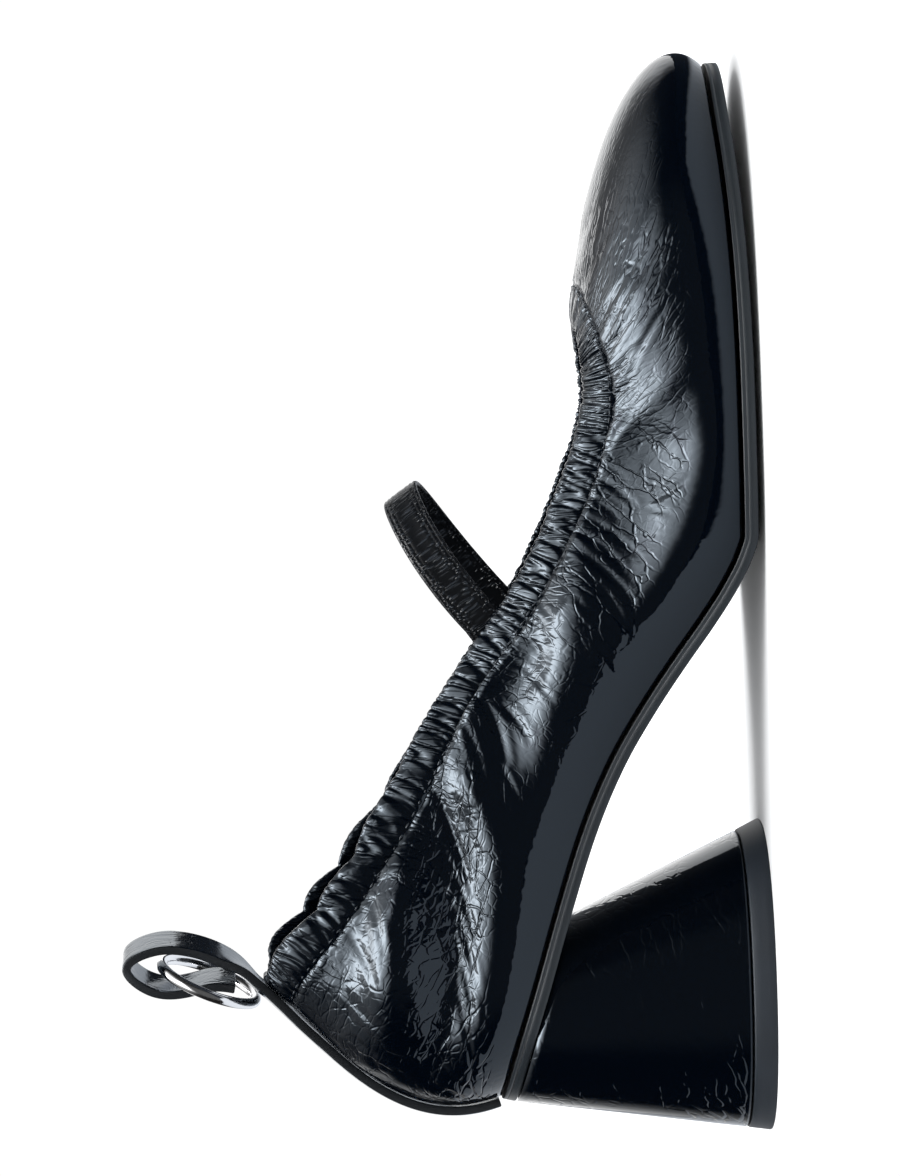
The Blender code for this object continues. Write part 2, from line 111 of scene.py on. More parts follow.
# Upper edge of the collar at the same stations
COLLAR = [
    Collar("heel_back", 38.0, 0.0, 0.0, 114.7, 114.7),
    Collar("heel_curve", 42.0, 8.8, 8.8, 113.8, 114.2),
    Collar("heel_side", 54.5, 15.6, 15.2, 103.0, 104.2),
    Collar("waist_back", 79.5, 17.2, 16.6, 86.4, 85.4),
    Collar("waist", 103.0, 17.6, 17.0, 72.8, 70.8),
    Collar("shank", 124.5, 19.6, 19.0, 57.4, 56.0),
    Collar("ball_back", 144.0, 22.6, 22.8, 47.0, 45.8),
    Collar("ball", 162.0, 22.8, 24.4, 40.4, 38.6),
    Collar("forepart", 175.0, 19.8, 22.0, 39.0, 37.4),
    Collar("toe_side", 182.6, 10.8, 14.2, 39.1, 38.3),
    Collar("toe_corner", 184.7, 3.2, 7.6, 39.2, 39.0),
    Collar("toe", 185.1, -2.0, 2.0, 39.2, 39.2),
]
# The wall between the two edges: a curve whose lower handle leans out by lean and is wall long,
# and whose upper handle falls by drop and is crown long
RIBS = [
    Rib("heel_back", 20.0, 27.0, 16.0, 51.0),
    Rib("heel_curve", 21.0, 25.0, 20.0, 58.0),
    Rib("heel_side", 23.0, 20.0, 26.0, 74.0),
    Rib("waist_back", 22.0, 19.0, 26.0, 74.0),
    Rib("waist", 23.0, 24.0, 26.0, 68.0),
    Rib("shank", 20.5, 25.5, 21.0, 58.0),
    Rib("ball_back", 26.0, 15.5, 25.0, 65.0),
    Rib("ball", 27.0, 9.5, 25.0, 54.0),
    Rib("forepart", 34.0, 15.5, 14.0, 23.0),
    Rib("toe_side", 41.0, 20.0, 28.5, 7.0),
    Rib("toe_corner", 45.5, 19.6, 33.0, 3.4),
    Rib("toe", 46.5, 19.7, 34.6, 2.0),
]
# Underside of the outsole along its middle, and how far its edges are lifted above that
SOLE_PROFILE = [
    Profile(4.0, 59.2, 0.0),
    Profile(20.0, 55.1, 0.0),
    Profile(36.0, 50.2, 0.0),
    Profile(54.0, 44.5, 0.0),
    Profile(72.0, 38.1, 0.0),
    Profile(86.0, 31.6, 0.0),
    Profile(98.0, 24.2, 0.1),
    Profile(108.0, 17.1, 0.3),
    Profile(116.0, 11.0, 0.6),
    Profile(124.0, 5.4, 1.0),
    Profile(130.5, 1.8, 1.3),
    Profile(136.0, 0.0, 1.5),
    Profile(171.0, 0.0, 1.5),
    Profile(188.0, 0.2, 1.5),
    Profile(205.0, 0.8, 1.4),
    Profile(221.0, 1.9, 1.1),
    Profile(233.0, 3.2, 0.6),
    Profile(246.0, 4.2, 0.0),
]
print("stations:", len(OUTLINE), "sole rows:", len(SOLE_PROFILE))

# %% [markdown]
# ## Smooth curves through the rows
# Blender could hold these as Bezier objects, but a cubic curve worked out with numpy can be asked for
# thousands of places at once, and that is what a fine skin needs. The closed curves take the way round
# the shoe, from the heel's back along the outer side to the toe and home along the inner side. The
# sole's profile must stay level where its rows are level, so its slopes are kept from overshooting.

# %% Smooth curves
def rows(table, column):
    return np.array([getattr(row, column) for row in table], float)


def around(lateral, medial):
    """One closed run of values: heel, lateral side, toe, medial side."""
    return np.concatenate([lateral, medial[-2:0:-1]])


def spline_slopes(knots, values, period=None):
    """Slopes of the smooth cubic curve through the values: closed if a period is given, else natural."""
    count = len(knots)
    system = np.zeros((count, count))
    right = np.zeros(count)
    closed = period is not None
    for i in range(count):
        ends = i in (0, count - 1)
        if ends and not closed:
            j = 1 if i == 0 else count - 2
            system[i, i] = 2.0
            system[i, j] = 1.0
            right[i] = 3.0 * (values[j] - values[i]) / (knots[j] - knots[i])
            continue
        before = i - 1
        after = (i + 1) % count
        step_in = (knots[i] - knots[before]) % period if closed else knots[i] - knots[before]
        step_out = (knots[after] - knots[i]) % period if closed else knots[after] - knots[i]
        system[i, before] = 1.0 / step_in
        system[i, i] = 2.0 / step_in + 2.0 / step_out
        system[i, after] = 1.0 / step_out
        rise_in = (values[i] - values[before]) / step_in ** 2
        rise_out = (values[after] - values[i]) / step_out ** 2
        right[i] = 3.0 * (rise_in + rise_out)
    return np.linalg.solve(system, right)


def level_slopes(knots, values):
    """Slopes that never overshoot: level where the values turn or rest."""
    steps = np.diff(knots)
    rises = np.diff(values) / steps
    slopes = np.zeros(len(knots))
    slopes[0] = rises[0]
    slopes[-1] = rises[-1]
    for i in range(1, len(knots) - 1):
        if rises[i - 1] * rises[i] > 0:
            first = 2.0 * steps[i] + steps[i - 1]
            second = steps[i] + 2.0 * steps[i - 1]
            slopes[i] = (first + second) / (first / rises[i - 1] + second / rises[i])
    return slopes


def hermite(knots, values, slopes, at):
    """Read the cubic curve with these slopes at the places given."""
    at = np.asarray(at, float)
    i = np.clip(np.searchsorted(knots, at, side="right") - 1, 0, len(knots) - 2)
    step = knots[i + 1] - knots[i]
    f = (at - knots[i]) / step
    start = values[i] * (1 + 2 * f) * (1 - f) ** 2 + slopes[i] * step * f * (1 - f) ** 2
    end = values[i + 1] * f ** 2 * (3 - 2 * f) - slopes[i + 1] * step * f ** 2 * (1 - f)
    return start + end

# %% The sole's profile and outline
SOLE_ALONG = rows(SOLE_PROFILE, "along")
SOLE_HEIGHT = rows(SOLE_PROFILE, "height")
SOLE_LIFT = rows(SOLE_PROFILE, "lift")
SOLE_HEIGHT_SLOPES = level_slopes(SOLE_ALONG, SOLE_HEIGHT)
SOLE_LIFT_SLOPES = level_slopes(SOLE_ALONG, SOLE_LIFT)


def underside(along, across):
    """Height of the outsole's underside; across runs from -1 to 1 between its edges."""
    middle = hermite(SOLE_ALONG, SOLE_HEIGHT, SOLE_HEIGHT_SLOPES, along)
    lift = hermite(SOLE_ALONG, SOLE_LIFT, SOLE_LIFT_SLOPES, along)
    out = np.maximum(0.0, (np.abs(across) - FLAT_TREAD) / (1 - FLAT_TREAD))
    return middle + lift * out ** 2


def above(along, across, height):
    """A place's along and height when raised square to the underside by height."""
    low = underside(along, across)
    slope = underside(along + 0.5, across) - underside(along - 0.5, across)
    size = np.sqrt(1 + slope ** 2)
    return along - slope * height / size, low + height / size


EDGE_ALONG = around(rows(OUTLINE, "along"), rows(OUTLINE, "along"))
EDGE_ACROSS = around(-rows(OUTLINE, "lateral"), rows(OUTLINE, "medial"))
CHORDS = np.hypot(np.roll(EDGE_ALONG, -1) - EDGE_ALONG, np.roll(EDGE_ACROSS, -1) - EDGE_ACROSS)
KNOTS = np.concatenate([[0.0], np.cumsum(CHORDS)[:-1]])
GIRTH = float(np.sum(CHORDS))
TOE_AT = float(KNOTS[len(OUTLINE) - 1])


def closed_curve(values):
    """A smooth closed curve through one value for each station, as a function of the way round."""
    slopes = spline_slopes(KNOTS, values, GIRTH)
    knots = np.append(KNOTS, GIRTH)
    values = np.append(values, values[0])
    slopes = np.append(slopes, slopes[0])
    return lambda s: hermite(knots, values, slopes, np.mod(s, GIRTH))


print(f"way round the sole {GIRTH:.1f} mm, toe at {TOE_AT:.1f} mm")

# %% [markdown]
# ## The surface of the upper
# At every place of the way round, one Bezier rib climbs from the sole to the collar. The lower handle
# leans outwards and the upper one falls back towards the foot opening, which gives the rounded ridge
# above the sole and the slope up to the elastic collar. All the leather is laid on this surface.

# %% The surface function
def rib_column(name):
    column = rows(RIBS, name)
    return closed_curve(around(column, column))


edge_along = closed_curve(EDGE_ALONG)
edge_across = closed_curve(EDGE_ACROSS)
collar_along = closed_curve(around(rows(COLLAR, "along"), rows(COLLAR, "along")))
collar_across = closed_curve(around(-rows(COLLAR, "lateral"), rows(COLLAR, "medial")))
collar_height = closed_curve(around(rows(COLLAR, "height_lateral"), rows(COLLAR, "height_medial")))
rib_lean = rib_column("lean")
rib_wall = rib_column("wall")
rib_crown = rib_column("crown")
rib_drop = rib_column("drop")


def outward(along, across, s):
    """Unit direction pointing out of the shoe in plan, square to a closed curve."""
    step = 0.5
    run = along(s + step) - along(s - step)
    side = across(s + step) - across(s - step)
    size = np.hypot(run, side)
    return side / size, -run / size


def edge_point(s, out=0.0):
    """The lower edge in plan, moved outwards by out."""
    nx, ny = outward(edge_along, edge_across, s)
    return edge_along(s) + nx * out, edge_across(s) + ny * out


def shoe(s, v):
    """Outer surface of the upper: s runs round the shoe, v from 0 at the sole to 1 at the collar."""
    s = np.asarray(s, float)
    v = np.asarray(v, float)
    along, ey = edge_point(s)
    ex, ez = above(along, 1.0, SOLE + GAP)
    enx, eny = outward(edge_along, edge_across, s)
    cx = collar_along(s)
    cy = collar_across(s)
    cz = collar_height(s)
    cnx, cny = outward(collar_along, collar_across, s)
    lean = np.radians(rib_lean(s))
    drop = np.radians(rib_drop(s))
    wall = rib_wall(s)
    crown = rib_crown(s)
    low = (ex + enx * wall * np.sin(lean), ey + eny * wall * np.sin(lean), ez + wall * np.cos(lean))
    high = (cx + cnx * crown * np.cos(drop), cy + cny * crown * np.cos(drop), cz - crown * np.sin(drop))
    weights = ((1 - v) ** 3, 3 * v * (1 - v) ** 2, 3 * v ** 2 * (1 - v), v ** 3)
    point = [
        weights[0] * a + weights[1] * b + weights[2] * c + weights[3] * d
        for a, b, c, d in zip((ex, ey, ez), low, high, (cx, cy, cz))
    ]
    return np.stack(point, axis=-1)


def v_below_collar(s, distance):
    """The v at a distance below the collar's edge, measured down the wall."""
    steps = np.linspace(1.0, 0.0, 161)
    path = shoe(np.full(len(steps), s), steps)
    length = np.concatenate([[0.0], np.cumsum(np.linalg.norm(np.diff(path, axis=0), axis=1))])
    return float(np.interp(distance, length, steps))


print("collar at the back:", np.round(shoe(0.0, 1.0), 1))

# %% [markdown]
# ## Camera
# The shoe is seen from its outer side, from far away and almost level with the ground, and the picture
# is turned a quarter so that the toe points up. A long lens keeps the two edges of the collar close
# together. The camera's three directions are worked out from where it stands and what it looks at,
# and then turned about the line of sight.

# %% Camera
CAMERA_AT = Vector((0.1097, -1.0993, 0.1034))
CAMERA_TARGET = Vector((0.0905, 0.0, 0.0689))
CAMERA_ROLL = radians(91.94)
LENS = 147.7


def make_camera():
    back = (CAMERA_AT - CAMERA_TARGET).normalized()
    right = Vector((0.0, 0.0, 1.0)).cross(back).normalized()
    up = back.cross(right)
    image_right = right * cos(CAMERA_ROLL) - up * sin(CAMERA_ROLL)
    image_up = right * sin(CAMERA_ROLL) + up * cos(CAMERA_ROLL)
    data = bpy.data.cameras.new("camera")
    data.lens = LENS
    data.sensor_width = 36.0
    data.clip_start = 0.05
    camera = bpy.data.objects.new("camera", data)
    camera.matrix_world = Matrix((image_right, image_up, back)).transposed().to_4x4()
    camera.location = CAMERA_AT
    bpy.context.scene.collection.objects.link(camera)
    bpy.context.scene.camera = camera
    return camera


camera = make_camera()
print("camera looks along", [round(c, 3) for c in (camera.matrix_world.to_3x3() @ Vector((0, 0, -1)))])

# %% [markdown]
# ## Floor and light
# Patent leather is a mirror, so most of what shows on it is the studio itself: a white floor that stops
# a little in front of the shoe, a wide soft light overhead, a pale wall behind, and a dark room on the
# side of the camera. The world's shader gives glossy rays that room, gives diffuse rays one even light,
# and leaves the background plain white. The floor's reflection is painted: glossy rays see a dimmer,
# bluer painted reflection tone, lit as a painted pool that ends at a slanting line in front of the shoe,
# and painted shade, nearly black, beyond it. An area light overhead adds the soft shadow on the floor.

# %% Helpers for shader nodes
def add_node(tree, kind, **settings):
    """Add a node; a setting whose name is a socket's sets that socket, and any other sets a property."""
    made = tree.nodes.new(kind)
    for name, value in settings.items():
        if hasattr(made, name):
            setattr(made, name, value)
        else:
            made.inputs[name.replace("_", " ")].default_value = value
    return made


def calculate(tree, operation, first, second=None, third=None):
    """A Math node; each value is a number or an output socket."""
    made = tree.nodes.new("ShaderNodeMath")
    made.operation = operation
    for i, value in enumerate((first, second, third)):
        if value is None:
            continue
        if isinstance(value, (int, float)):
            made.inputs[i].default_value = value
        else:
            tree.links.new(value, made.inputs[i])
    return made.outputs[0]


def soft_step(tree, value, start, end):
    """From 0 at start to 1 at end, smoothly."""
    made = tree.nodes.new("ShaderNodeMapRange")
    made.interpolation_type = "SMOOTHSTEP"
    tree.links.new(value, made.inputs["Value"])
    for name, setting in (("From Min", start), ("From Max", end)):
        if isinstance(setting, (int, float)):
            made.inputs[name].default_value = setting
        else:
            tree.links.new(setting, made.inputs[name])
    return made.outputs["Result"]

# %% World
RoomLight = namedtuple("RoomLight", "elevation front side back")
ROOM = [
    RoomLight(-90.0, 0.08, 0.03, 0.60),
    RoomLight(-24.0, 0.10, 0.03, 0.66),
    RoomLight(-2.0, 0.10, 0.02, 1.5),
    RoomLight(18.0, 0.09, 0.03, 1.5),
    RoomLight(25.0, 0.12, 0.04, 0.60),
    RoomLight(30.0, 0.28, 0.07, 0.32),
    RoomLight(36.0, 0.95, 0.20, 0.30),
    RoomLight(42.0, 2.3, 0.45, 0.45),
    RoomLight(50.0, 3.8, 0.90, 0.9),
    RoomLight(58.0, 5.6, 1.3, 1.5),
    RoomLight(64.0, 9.0, 1.8, 2.2),
    RoomLight(70.0, 14.0, 2.1, 3.0),
    RoomLight(77.0, 18.0, 3.2, 5.0),
    RoomLight(84.0, 18.0, 8.0, 10.0),
    RoomLight(90.0, 14.0, 14.0, 14.0),
]
ROOM_PEAK = 18.0
# Where the side walls and then the back wall fade in: -1 is straight to the front, 1 to the back
SIDE_BEGINS = (-0.88, -0.60)
BACK_BEGINS = (0.45, 0.80)
# Where the room fades to a dimmer one: 0 is square to the shoe, -1 is straight behind its heel
SHADE_BEGINS = (-0.35, -0.75)
HEEL_SHADE = 0.6
EVEN_LIGHT = 1.18
BACKDROP = 1.03


def room_ramp(tree, height, column):
    """Brightness by the height of a direction, as shares of the peak."""
    ramp = tree.nodes.new("ShaderNodeValToRGB")
    ramp.color_ramp.interpolation = "LINEAR"
    stops = ramp.color_ramp.elements
    for i, row in enumerate(ROOM):
        at = (sin(radians(row.elevation)) + 1) / 2
        stop = stops[i] if i < 2 else stops.new(at)
        stop.position = at
        share = getattr(row, column) / ROOM_PEAK
        stop.color = (share, share, share, 1.0)
    tree.links.new(height, ramp.inputs[0])
    return ramp.outputs[0]


def blend(tree, factor, first, second):
    """A number between two outputs."""
    mix = add_node(tree, "ShaderNodeMix", data_type="FLOAT")
    for value, socket in ((factor, 0), (first, 2), (second, 3)):
        tree.links.new(value, mix.inputs[socket])
    return mix.outputs[0]


def make_world():
    world = bpy.data.worlds.new("studio")
    bpy.context.scene.world = world
    world.use_nodes = True
    tree = world.node_tree
    tree.nodes.clear()
    direction = add_node(tree, "ShaderNodeTexCoord").outputs["Generated"]
    parts = add_node(tree, "ShaderNodeSeparateXYZ")
    tree.links.new(direction, parts.inputs[0])
    height = calculate(tree, "MULTIPLY_ADD", parts.outputs[2], 0.5, 0.5)
    upright = calculate(tree, "POWER", parts.outputs[2], 2.0)
    level = calculate(tree, "SQRT", calculate(tree, "SUBTRACT", 1.0001, upright))
    facing = calculate(tree, "DIVIDE", parts.outputs[1], level)
    front, side, back = (room_ramp(tree, height, column) for column in ("front", "side", "back"))
    room = blend(tree, soft_step(tree, facing, *SIDE_BEGINS), front, side)
    room = blend(tree, soft_step(tree, facing, *BACK_BEGINS), room, back)
    heelward = calculate(tree, "DIVIDE", parts.outputs[0], level)
    shade = calculate(tree, "MULTIPLY", soft_step(tree, heelward, *SHADE_BEGINS), HEEL_SHADE)
    room = calculate(tree, "MULTIPLY", room, calculate(tree, "SUBTRACT", 1.0, shade))
    room = calculate(tree, "MULTIPLY", room, ROOM_PEAK)
    path = add_node(tree, "ShaderNodeLightPath")
    chosen = calculate(tree, "MULTIPLY", room, path.outputs["Is Glossy Ray"])
    other = calculate(tree, "SUBTRACT", 1.0, path.outputs["Is Glossy Ray"])
    dimmed = calculate(tree, "MULTIPLY", path.outputs["Is Camera Ray"], EVEN_LIGHT - BACKDROP)
    plain = calculate(tree, "SUBTRACT", EVEN_LIGHT, dimmed)
    strength = calculate(tree, "MULTIPLY_ADD", other, plain, chosen)
    background = add_node(tree, "ShaderNodeBackground", Color=(1.0, 1.0, 1.0, 1.0))
    tree.links.new(strength, background.inputs["Strength"])
    output = add_node(tree, "ShaderNodeOutputWorld")
    tree.links.new(background.outputs[0], output.inputs["Surface"])


make_world()
bpy.context.scene.view_settings.view_transform = "Standard"
print("room light in", len(ROOM), "steps of height")

# %% Floor and overhead light
FLOOR_FRONT = -0.19
FLOOR_BACK = 2.2
FLOOR_SIDE = 2.0
FLOOR_MIDDLE = 0.09
FLOOR_WHITE = (0.88, 0.89, 0.90, 1.0)
# Seen only by glossy rays: a painted reflection tone, dimmer and bluer than the floor's white, and
# painted shade, nearly black, beyond the painted pool of light
FLOOR_PAINTED_REFLECTION = (0.43, 0.45, 0.48, 1.0)
FLOOR_PAINTED_SHADE = (0.012, 0.014, 0.018, 1.0)
# The painted pool of light in the floor's reflection: its front line, that line's slant, how far ahead
# it reaches and how softly it fades, in metres
PAINTED_POOL_FRONT = -0.065
PAINTED_POOL_SLANT = (1.25, -0.193)
PAINTED_POOL_AHEAD = 0.232
PAINTED_POOL_FADE = 0.012
LIGHT_POWER = 16.0
LIGHT_SIZE = (1.3, 1.0)
LIGHT_AT = (0.10, 0.05, 1.0)


def painted_pool_of_light(tree):
    """The floor's colour for glossy rays: a painted reflection tone inside a painted pool of light that
    ends at a slanting line in front of the shoe, and painted shade beyond it.
    """
    place = add_node(tree, "ShaderNodeSeparateXYZ")
    tree.links.new(add_node(tree, "ShaderNodeTexCoord").outputs["Object"], place.inputs[0])
    slant = calculate(tree, "MULTIPLY_ADD", place.outputs[0], *PAINTED_POOL_SLANT)
    front = calculate(tree, "MINIMUM", slant, PAINTED_POOL_FRONT)
    inside = calculate(tree, "SUBTRACT", place.outputs[1], front)
    ahead = calculate(tree, "SUBTRACT", PAINTED_POOL_AHEAD, place.outputs[0])
    # 1 inside the painted pool of light, 0 in the painted shade around it
    near = calculate(tree, "MULTIPLY", soft_step(tree, inside, 0.0, PAINTED_POOL_FADE),
                     soft_step(tree, ahead, 0.0, PAINTED_POOL_FADE))
    mix = add_node(tree, "ShaderNodeMix", data_type="RGBA")
    tree.links.new(near, mix.inputs["Factor"])
    mix.inputs["A"].default_value = FLOOR_PAINTED_SHADE
    mix.inputs["B"].default_value = FLOOR_PAINTED_REFLECTION
    return mix.outputs["Result"]


def make_floor():
    mesh = bmesh.new()
    bmesh.ops.create_grid(mesh, x_segments=1, y_segments=1, size=1.0)
    bmesh.ops.scale(mesh, vec=(FLOOR_SIDE, (FLOOR_BACK - FLOOR_FRONT) / 2, 1.0), verts=mesh.verts)
    bmesh.ops.translate(mesh, vec=(FLOOR_MIDDLE, (FLOOR_BACK + FLOOR_FRONT) / 2, 0.0), verts=mesh.verts)
    data = bpy.data.meshes.new("floor")
    mesh.to_mesh(data)
    mesh.free()
    floor = bpy.data.objects.new("floor", data)
    bpy.context.scene.collection.objects.link(floor)
    white = bpy.data.materials.new("pale_floor_painted_reflection")
    white.use_nodes = True
    tree = white.node_tree
    shader = tree.nodes["Principled BSDF"]
    # Camera and diffuse rays see the even white; glossy rays see the painted reflection tone and painted
    # shade
    colour = add_node(tree, "ShaderNodeMix", data_type="RGBA")
    path = add_node(tree, "ShaderNodeLightPath")
    tree.links.new(path.outputs["Is Glossy Ray"], colour.inputs["Factor"])
    colour.inputs["A"].default_value = FLOOR_WHITE
    tree.links.new(painted_pool_of_light(tree), colour.inputs["B"])
    tree.links.new(colour.outputs["Result"], shader.inputs["Base Color"])
    shader.inputs["Roughness"].default_value = 0.8
    shader.inputs["Specular IOR Level"].default_value = 0.0
    data.materials.append(white)
    floor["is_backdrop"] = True


def make_light():
    data = bpy.data.lights.new("overhead", "AREA")
    data.shape = "RECTANGLE"
    data.size, data.size_y = LIGHT_SIZE
    data.energy = LIGHT_POWER
    light = bpy.data.objects.new("overhead", data)
    light.location = LIGHT_AT
    light.visible_glossy = False
    light.visible_camera = False
    bpy.context.scene.collection.objects.link(light)


make_floor()
make_light()
print("floor begins at", FLOOR_FRONT, "and the light over it has", LIGHT_POWER, "watts")

# %% [markdown]
# ## Sheets
# Most pieces of a shoe are sheets: leather on a last, a strap, a casing round an elastic. We make each
# from one operator grid and lay its corners on the piece's surface. The grid keeps its own square UV
# map, stretched to real lengths, so that gathers and cracks in a finish can be given in millimetres.
# Where the grid's own edges come together, its corners are merged.

# %% Sheets laid on surfaces
MAP_UNIT = 100.0


def to_frame(points):
    """From table coordinates in millimetres to the model's frame in metres."""
    return (points - np.array([HEEL_LENGTH / 2, 0.0, 0.0])) * MM


def lay_sheet(columns, rows_up, surface):
    """A grid whose corners lie where surface(u, v) says; u and v run from 0 to 1, in rows of u."""
    sheet = bmesh.new()
    sheet.loops.layers.uv.new("surface")
    bmesh.ops.create_grid(sheet, x_segments=columns, y_segments=rows_up, size=0.5, calc_uvs=True)
    u, v = (np.array([vert.co[axis] for vert in sheet.verts]) + 0.5 for axis in (0, 1))
    shape = (rows_up + 1, columns + 1)
    spots = to_frame(surface(u.reshape(shape), v.reshape(shape)).reshape(-1, 3))
    for vert, spot in zip(sheet.verts, spots):
        vert.co = spot
    return sheet


def lattice(columns, rows_up):
    """The u and v of every corner of such a sheet."""
    return np.meshgrid(np.linspace(0, 1, columns + 1), np.linspace(0, 1, rows_up + 1))


def stretch_surface_map(sheet, across_values, up_values):
    """Stretch the grid's own UV map to real lengths: one unit of it is a hundred millimetres."""
    layer = sheet.loops.layers.uv["surface"]
    places = np.stack([np.ravel(across_values), np.ravel(up_values)], axis=-1) / MAP_UNIT
    sheet.verts.index_update()
    for face in sheet.faces:
        for loop in face.loops:
            loop[layer].uv = places[loop.vert.index]


def add_mask(sheet, name, values):
    """Keep a share for every corner of the sheet, for its material to read."""
    layer = sheet.verts.layers.float.new(name)
    for vert, value in zip(sheet.verts, np.ravel(values)):
        vert[layer] = value


def merge(sheet):
    """Merge corners that lie on each other."""
    bmesh.ops.remove_doubles(sheet, verts=sheet.verts, dist=MM / 1000)


def to_object(name, sheet, finishes, body="root", replaced=None):
    """Turn a finished bmesh into a named piece of the shoe."""
    bmesh.ops.recalc_face_normals(sheet, faces=sheet.faces)
    data = bpy.data.meshes.new(name)
    open_edges = sum(len(edge.link_faces) != 2 for edge in sheet.edges)
    sheet.to_mesh(data)
    sheet.free()
    data.shade_smooth()
    piece = bpy.data.objects.new(name, data)
    for finish in finishes:
        data.materials.append(finish)
    bpy.context.scene.collection.objects.link(piece)
    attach(piece, body)
    if replaced:
        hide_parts(replaced)
    triangles = sum(len(face.vertices) - 2 for face in data.polygons)
    print(f"{name}: {triangles} triangles, {open_edges} open edges")

# %% Shares, noise and normals
def soft(value, start, end):
    """From 0 at start to 1 at end, smoothly."""
    share = np.clip((value - start) / (end - start), 0.0, 1.0)
    return share * share * (3 - 2 * share)


def noise_at(points, size, seed):
    """Smooth noise from -1 to 1 at every point; size is the width of its lumps in millimetres."""
    flat = np.reshape(points, (-1, 3)) / np.broadcast_to(size, (3,)) + seed
    values = np.array([noise.noise(Vector(spot)) for spot in flat])
    return values.reshape(np.shape(points)[:-1])


def normals_of(points, closed):
    """Unit normals of a lattice of points, rows first; closed means that each row comes round."""
    if closed:
        ahead = np.roll(points[:, :-1], -1, axis=1) - np.roll(points[:, :-1], 1, axis=1)
        ahead = np.concatenate([ahead, ahead[:, :1]], axis=1)
    else:
        ahead = np.gradient(points, axis=1)
    across = np.cross(ahead, np.gradient(points, axis=0))
    return across / np.linalg.norm(across, axis=-1)[..., None]


print("noise at the heel's back:", round(float(noise_at(shoe(0.0, 0.5), 9.0, 3.0)), 3))

# %% [markdown]
# ## Finishes
# Every finish is a Principled shader fed by a few small effects. Patent leather is leather under a
# hard clear film: nearly black, mirror smooth, and cracked into fine cells where it has been gathered.
# The cracks and streaks are one shared node group that puts out a height, so that each material can
# ask for its own mix of them; the masks that say where they belong are kept on the corners of the skin.
# A second group is the grain of everything dull: the lining, the rubber, the thread and cut edges.

# %% Node groups and patterns
def new_group(name, inputs, outputs):
    group = bpy.data.node_groups.new(name, "ShaderNodeTree")
    for socket, kind, value in inputs:
        made = group.interface.new_socket(socket, in_out="INPUT", socket_type=kind)
        if value is not None:
            made.default_value = value
    for socket, kind in outputs:
        group.interface.new_socket(socket, in_out="OUTPUT", socket_type=kind)
    start = group.nodes.new("NodeGroupInput")
    end = group.nodes.new("NodeGroupOutput")
    return group, start, end


def scaled(tree, vector, scale, turn=0.0):
    """The vector stretched by scale after a turn about Z."""
    mapping = add_node(tree, "ShaderNodeMapping", vector_type="POINT")
    tree.links.new(vector, mapping.inputs["Vector"])
    turned = add_node(tree, "ShaderNodeMapping", vector_type="POINT")
    mapping.inputs["Rotation"].default_value = (0.0, 0.0, turn)
    tree.links.new(mapping.outputs[0], turned.inputs["Vector"])
    turned.inputs["Scale"].default_value = scale
    return turned.outputs[0]


def noise_node(tree, vector, detail=2.0, roughness=0.5):
    made = add_node(tree, "ShaderNodeTexNoise", noise_dimensions="3D")
    made.inputs["Scale"].default_value = 1.0
    made.inputs["Detail"].default_value = detail
    made.inputs["Roughness"].default_value = roughness
    tree.links.new(vector, made.inputs["Vector"])
    return made


def crack_web(tree, place, cell, width, turn=0.0):
    """Broken cells of thin cracks: -1 in a crack and 0 away from it; cell sizes are in millimetres."""
    shrunk = scaled(tree, place, tuple(1 / size for size in cell), turn)
    borders = add_node(tree, "ShaderNodeTexVoronoi", feature="DISTANCE_TO_EDGE")
    borders.inputs["Scale"].default_value = 1.0
    tree.links.new(shrunk, borders.inputs["Vector"])
    web = calculate(tree, "SUBTRACT", soft_step(tree, borders.outputs[0], 0.0, width), 1.0)
    patches = noise_node(tree, scaled(tree, shrunk, (0.45, 0.45, 0.45))).outputs[0]
    return calculate(tree, "MULTIPLY", web, soft_step(tree, patches, 0.38, 0.54))


def shaken(tree, place, size, amount):
    """The vector pushed about by a slow noise, so that straight cells turn uneven."""
    push = noise_node(tree, place)
    push.inputs["Scale"].default_value = 1 / size
    moved = add_node(tree, "ShaderNodeVectorMath", operation="MULTIPLY_ADD")
    tree.links.new(push.outputs["Color"], moved.inputs[0])
    moved.inputs[1].default_value = (amount, amount, amount)
    tree.links.new(place, moved.inputs[2])
    return moved.outputs[0]

# %% Node group: creased film
FilmPart = namedtuple("FilmPart", "socket depth along down width turn")
FILM_PARTS = [
    FilmPart("Cracks", 0.080, 4.4, 4.4, 0.090, 0.0),
    FilmPart("Streaks", 0.085, 7.5, 1.8, 0.170, 58.0),
    FilmPart("Fans", 0.095, 3.0, 11.0, 0.090, 38.0),
    FilmPart("Folds", 0.130, 8.0, 2.2, 0.140, -15.0),
    FilmPart("Gathers", 0.110, 2.0, 8.0, 0.170, 0.0),
]
FINE_CELL = 2.2
FINE_WIDTH = 0.14
FINE_DEPTH = 0.03
PEBBLE = (1.2, 2.2)


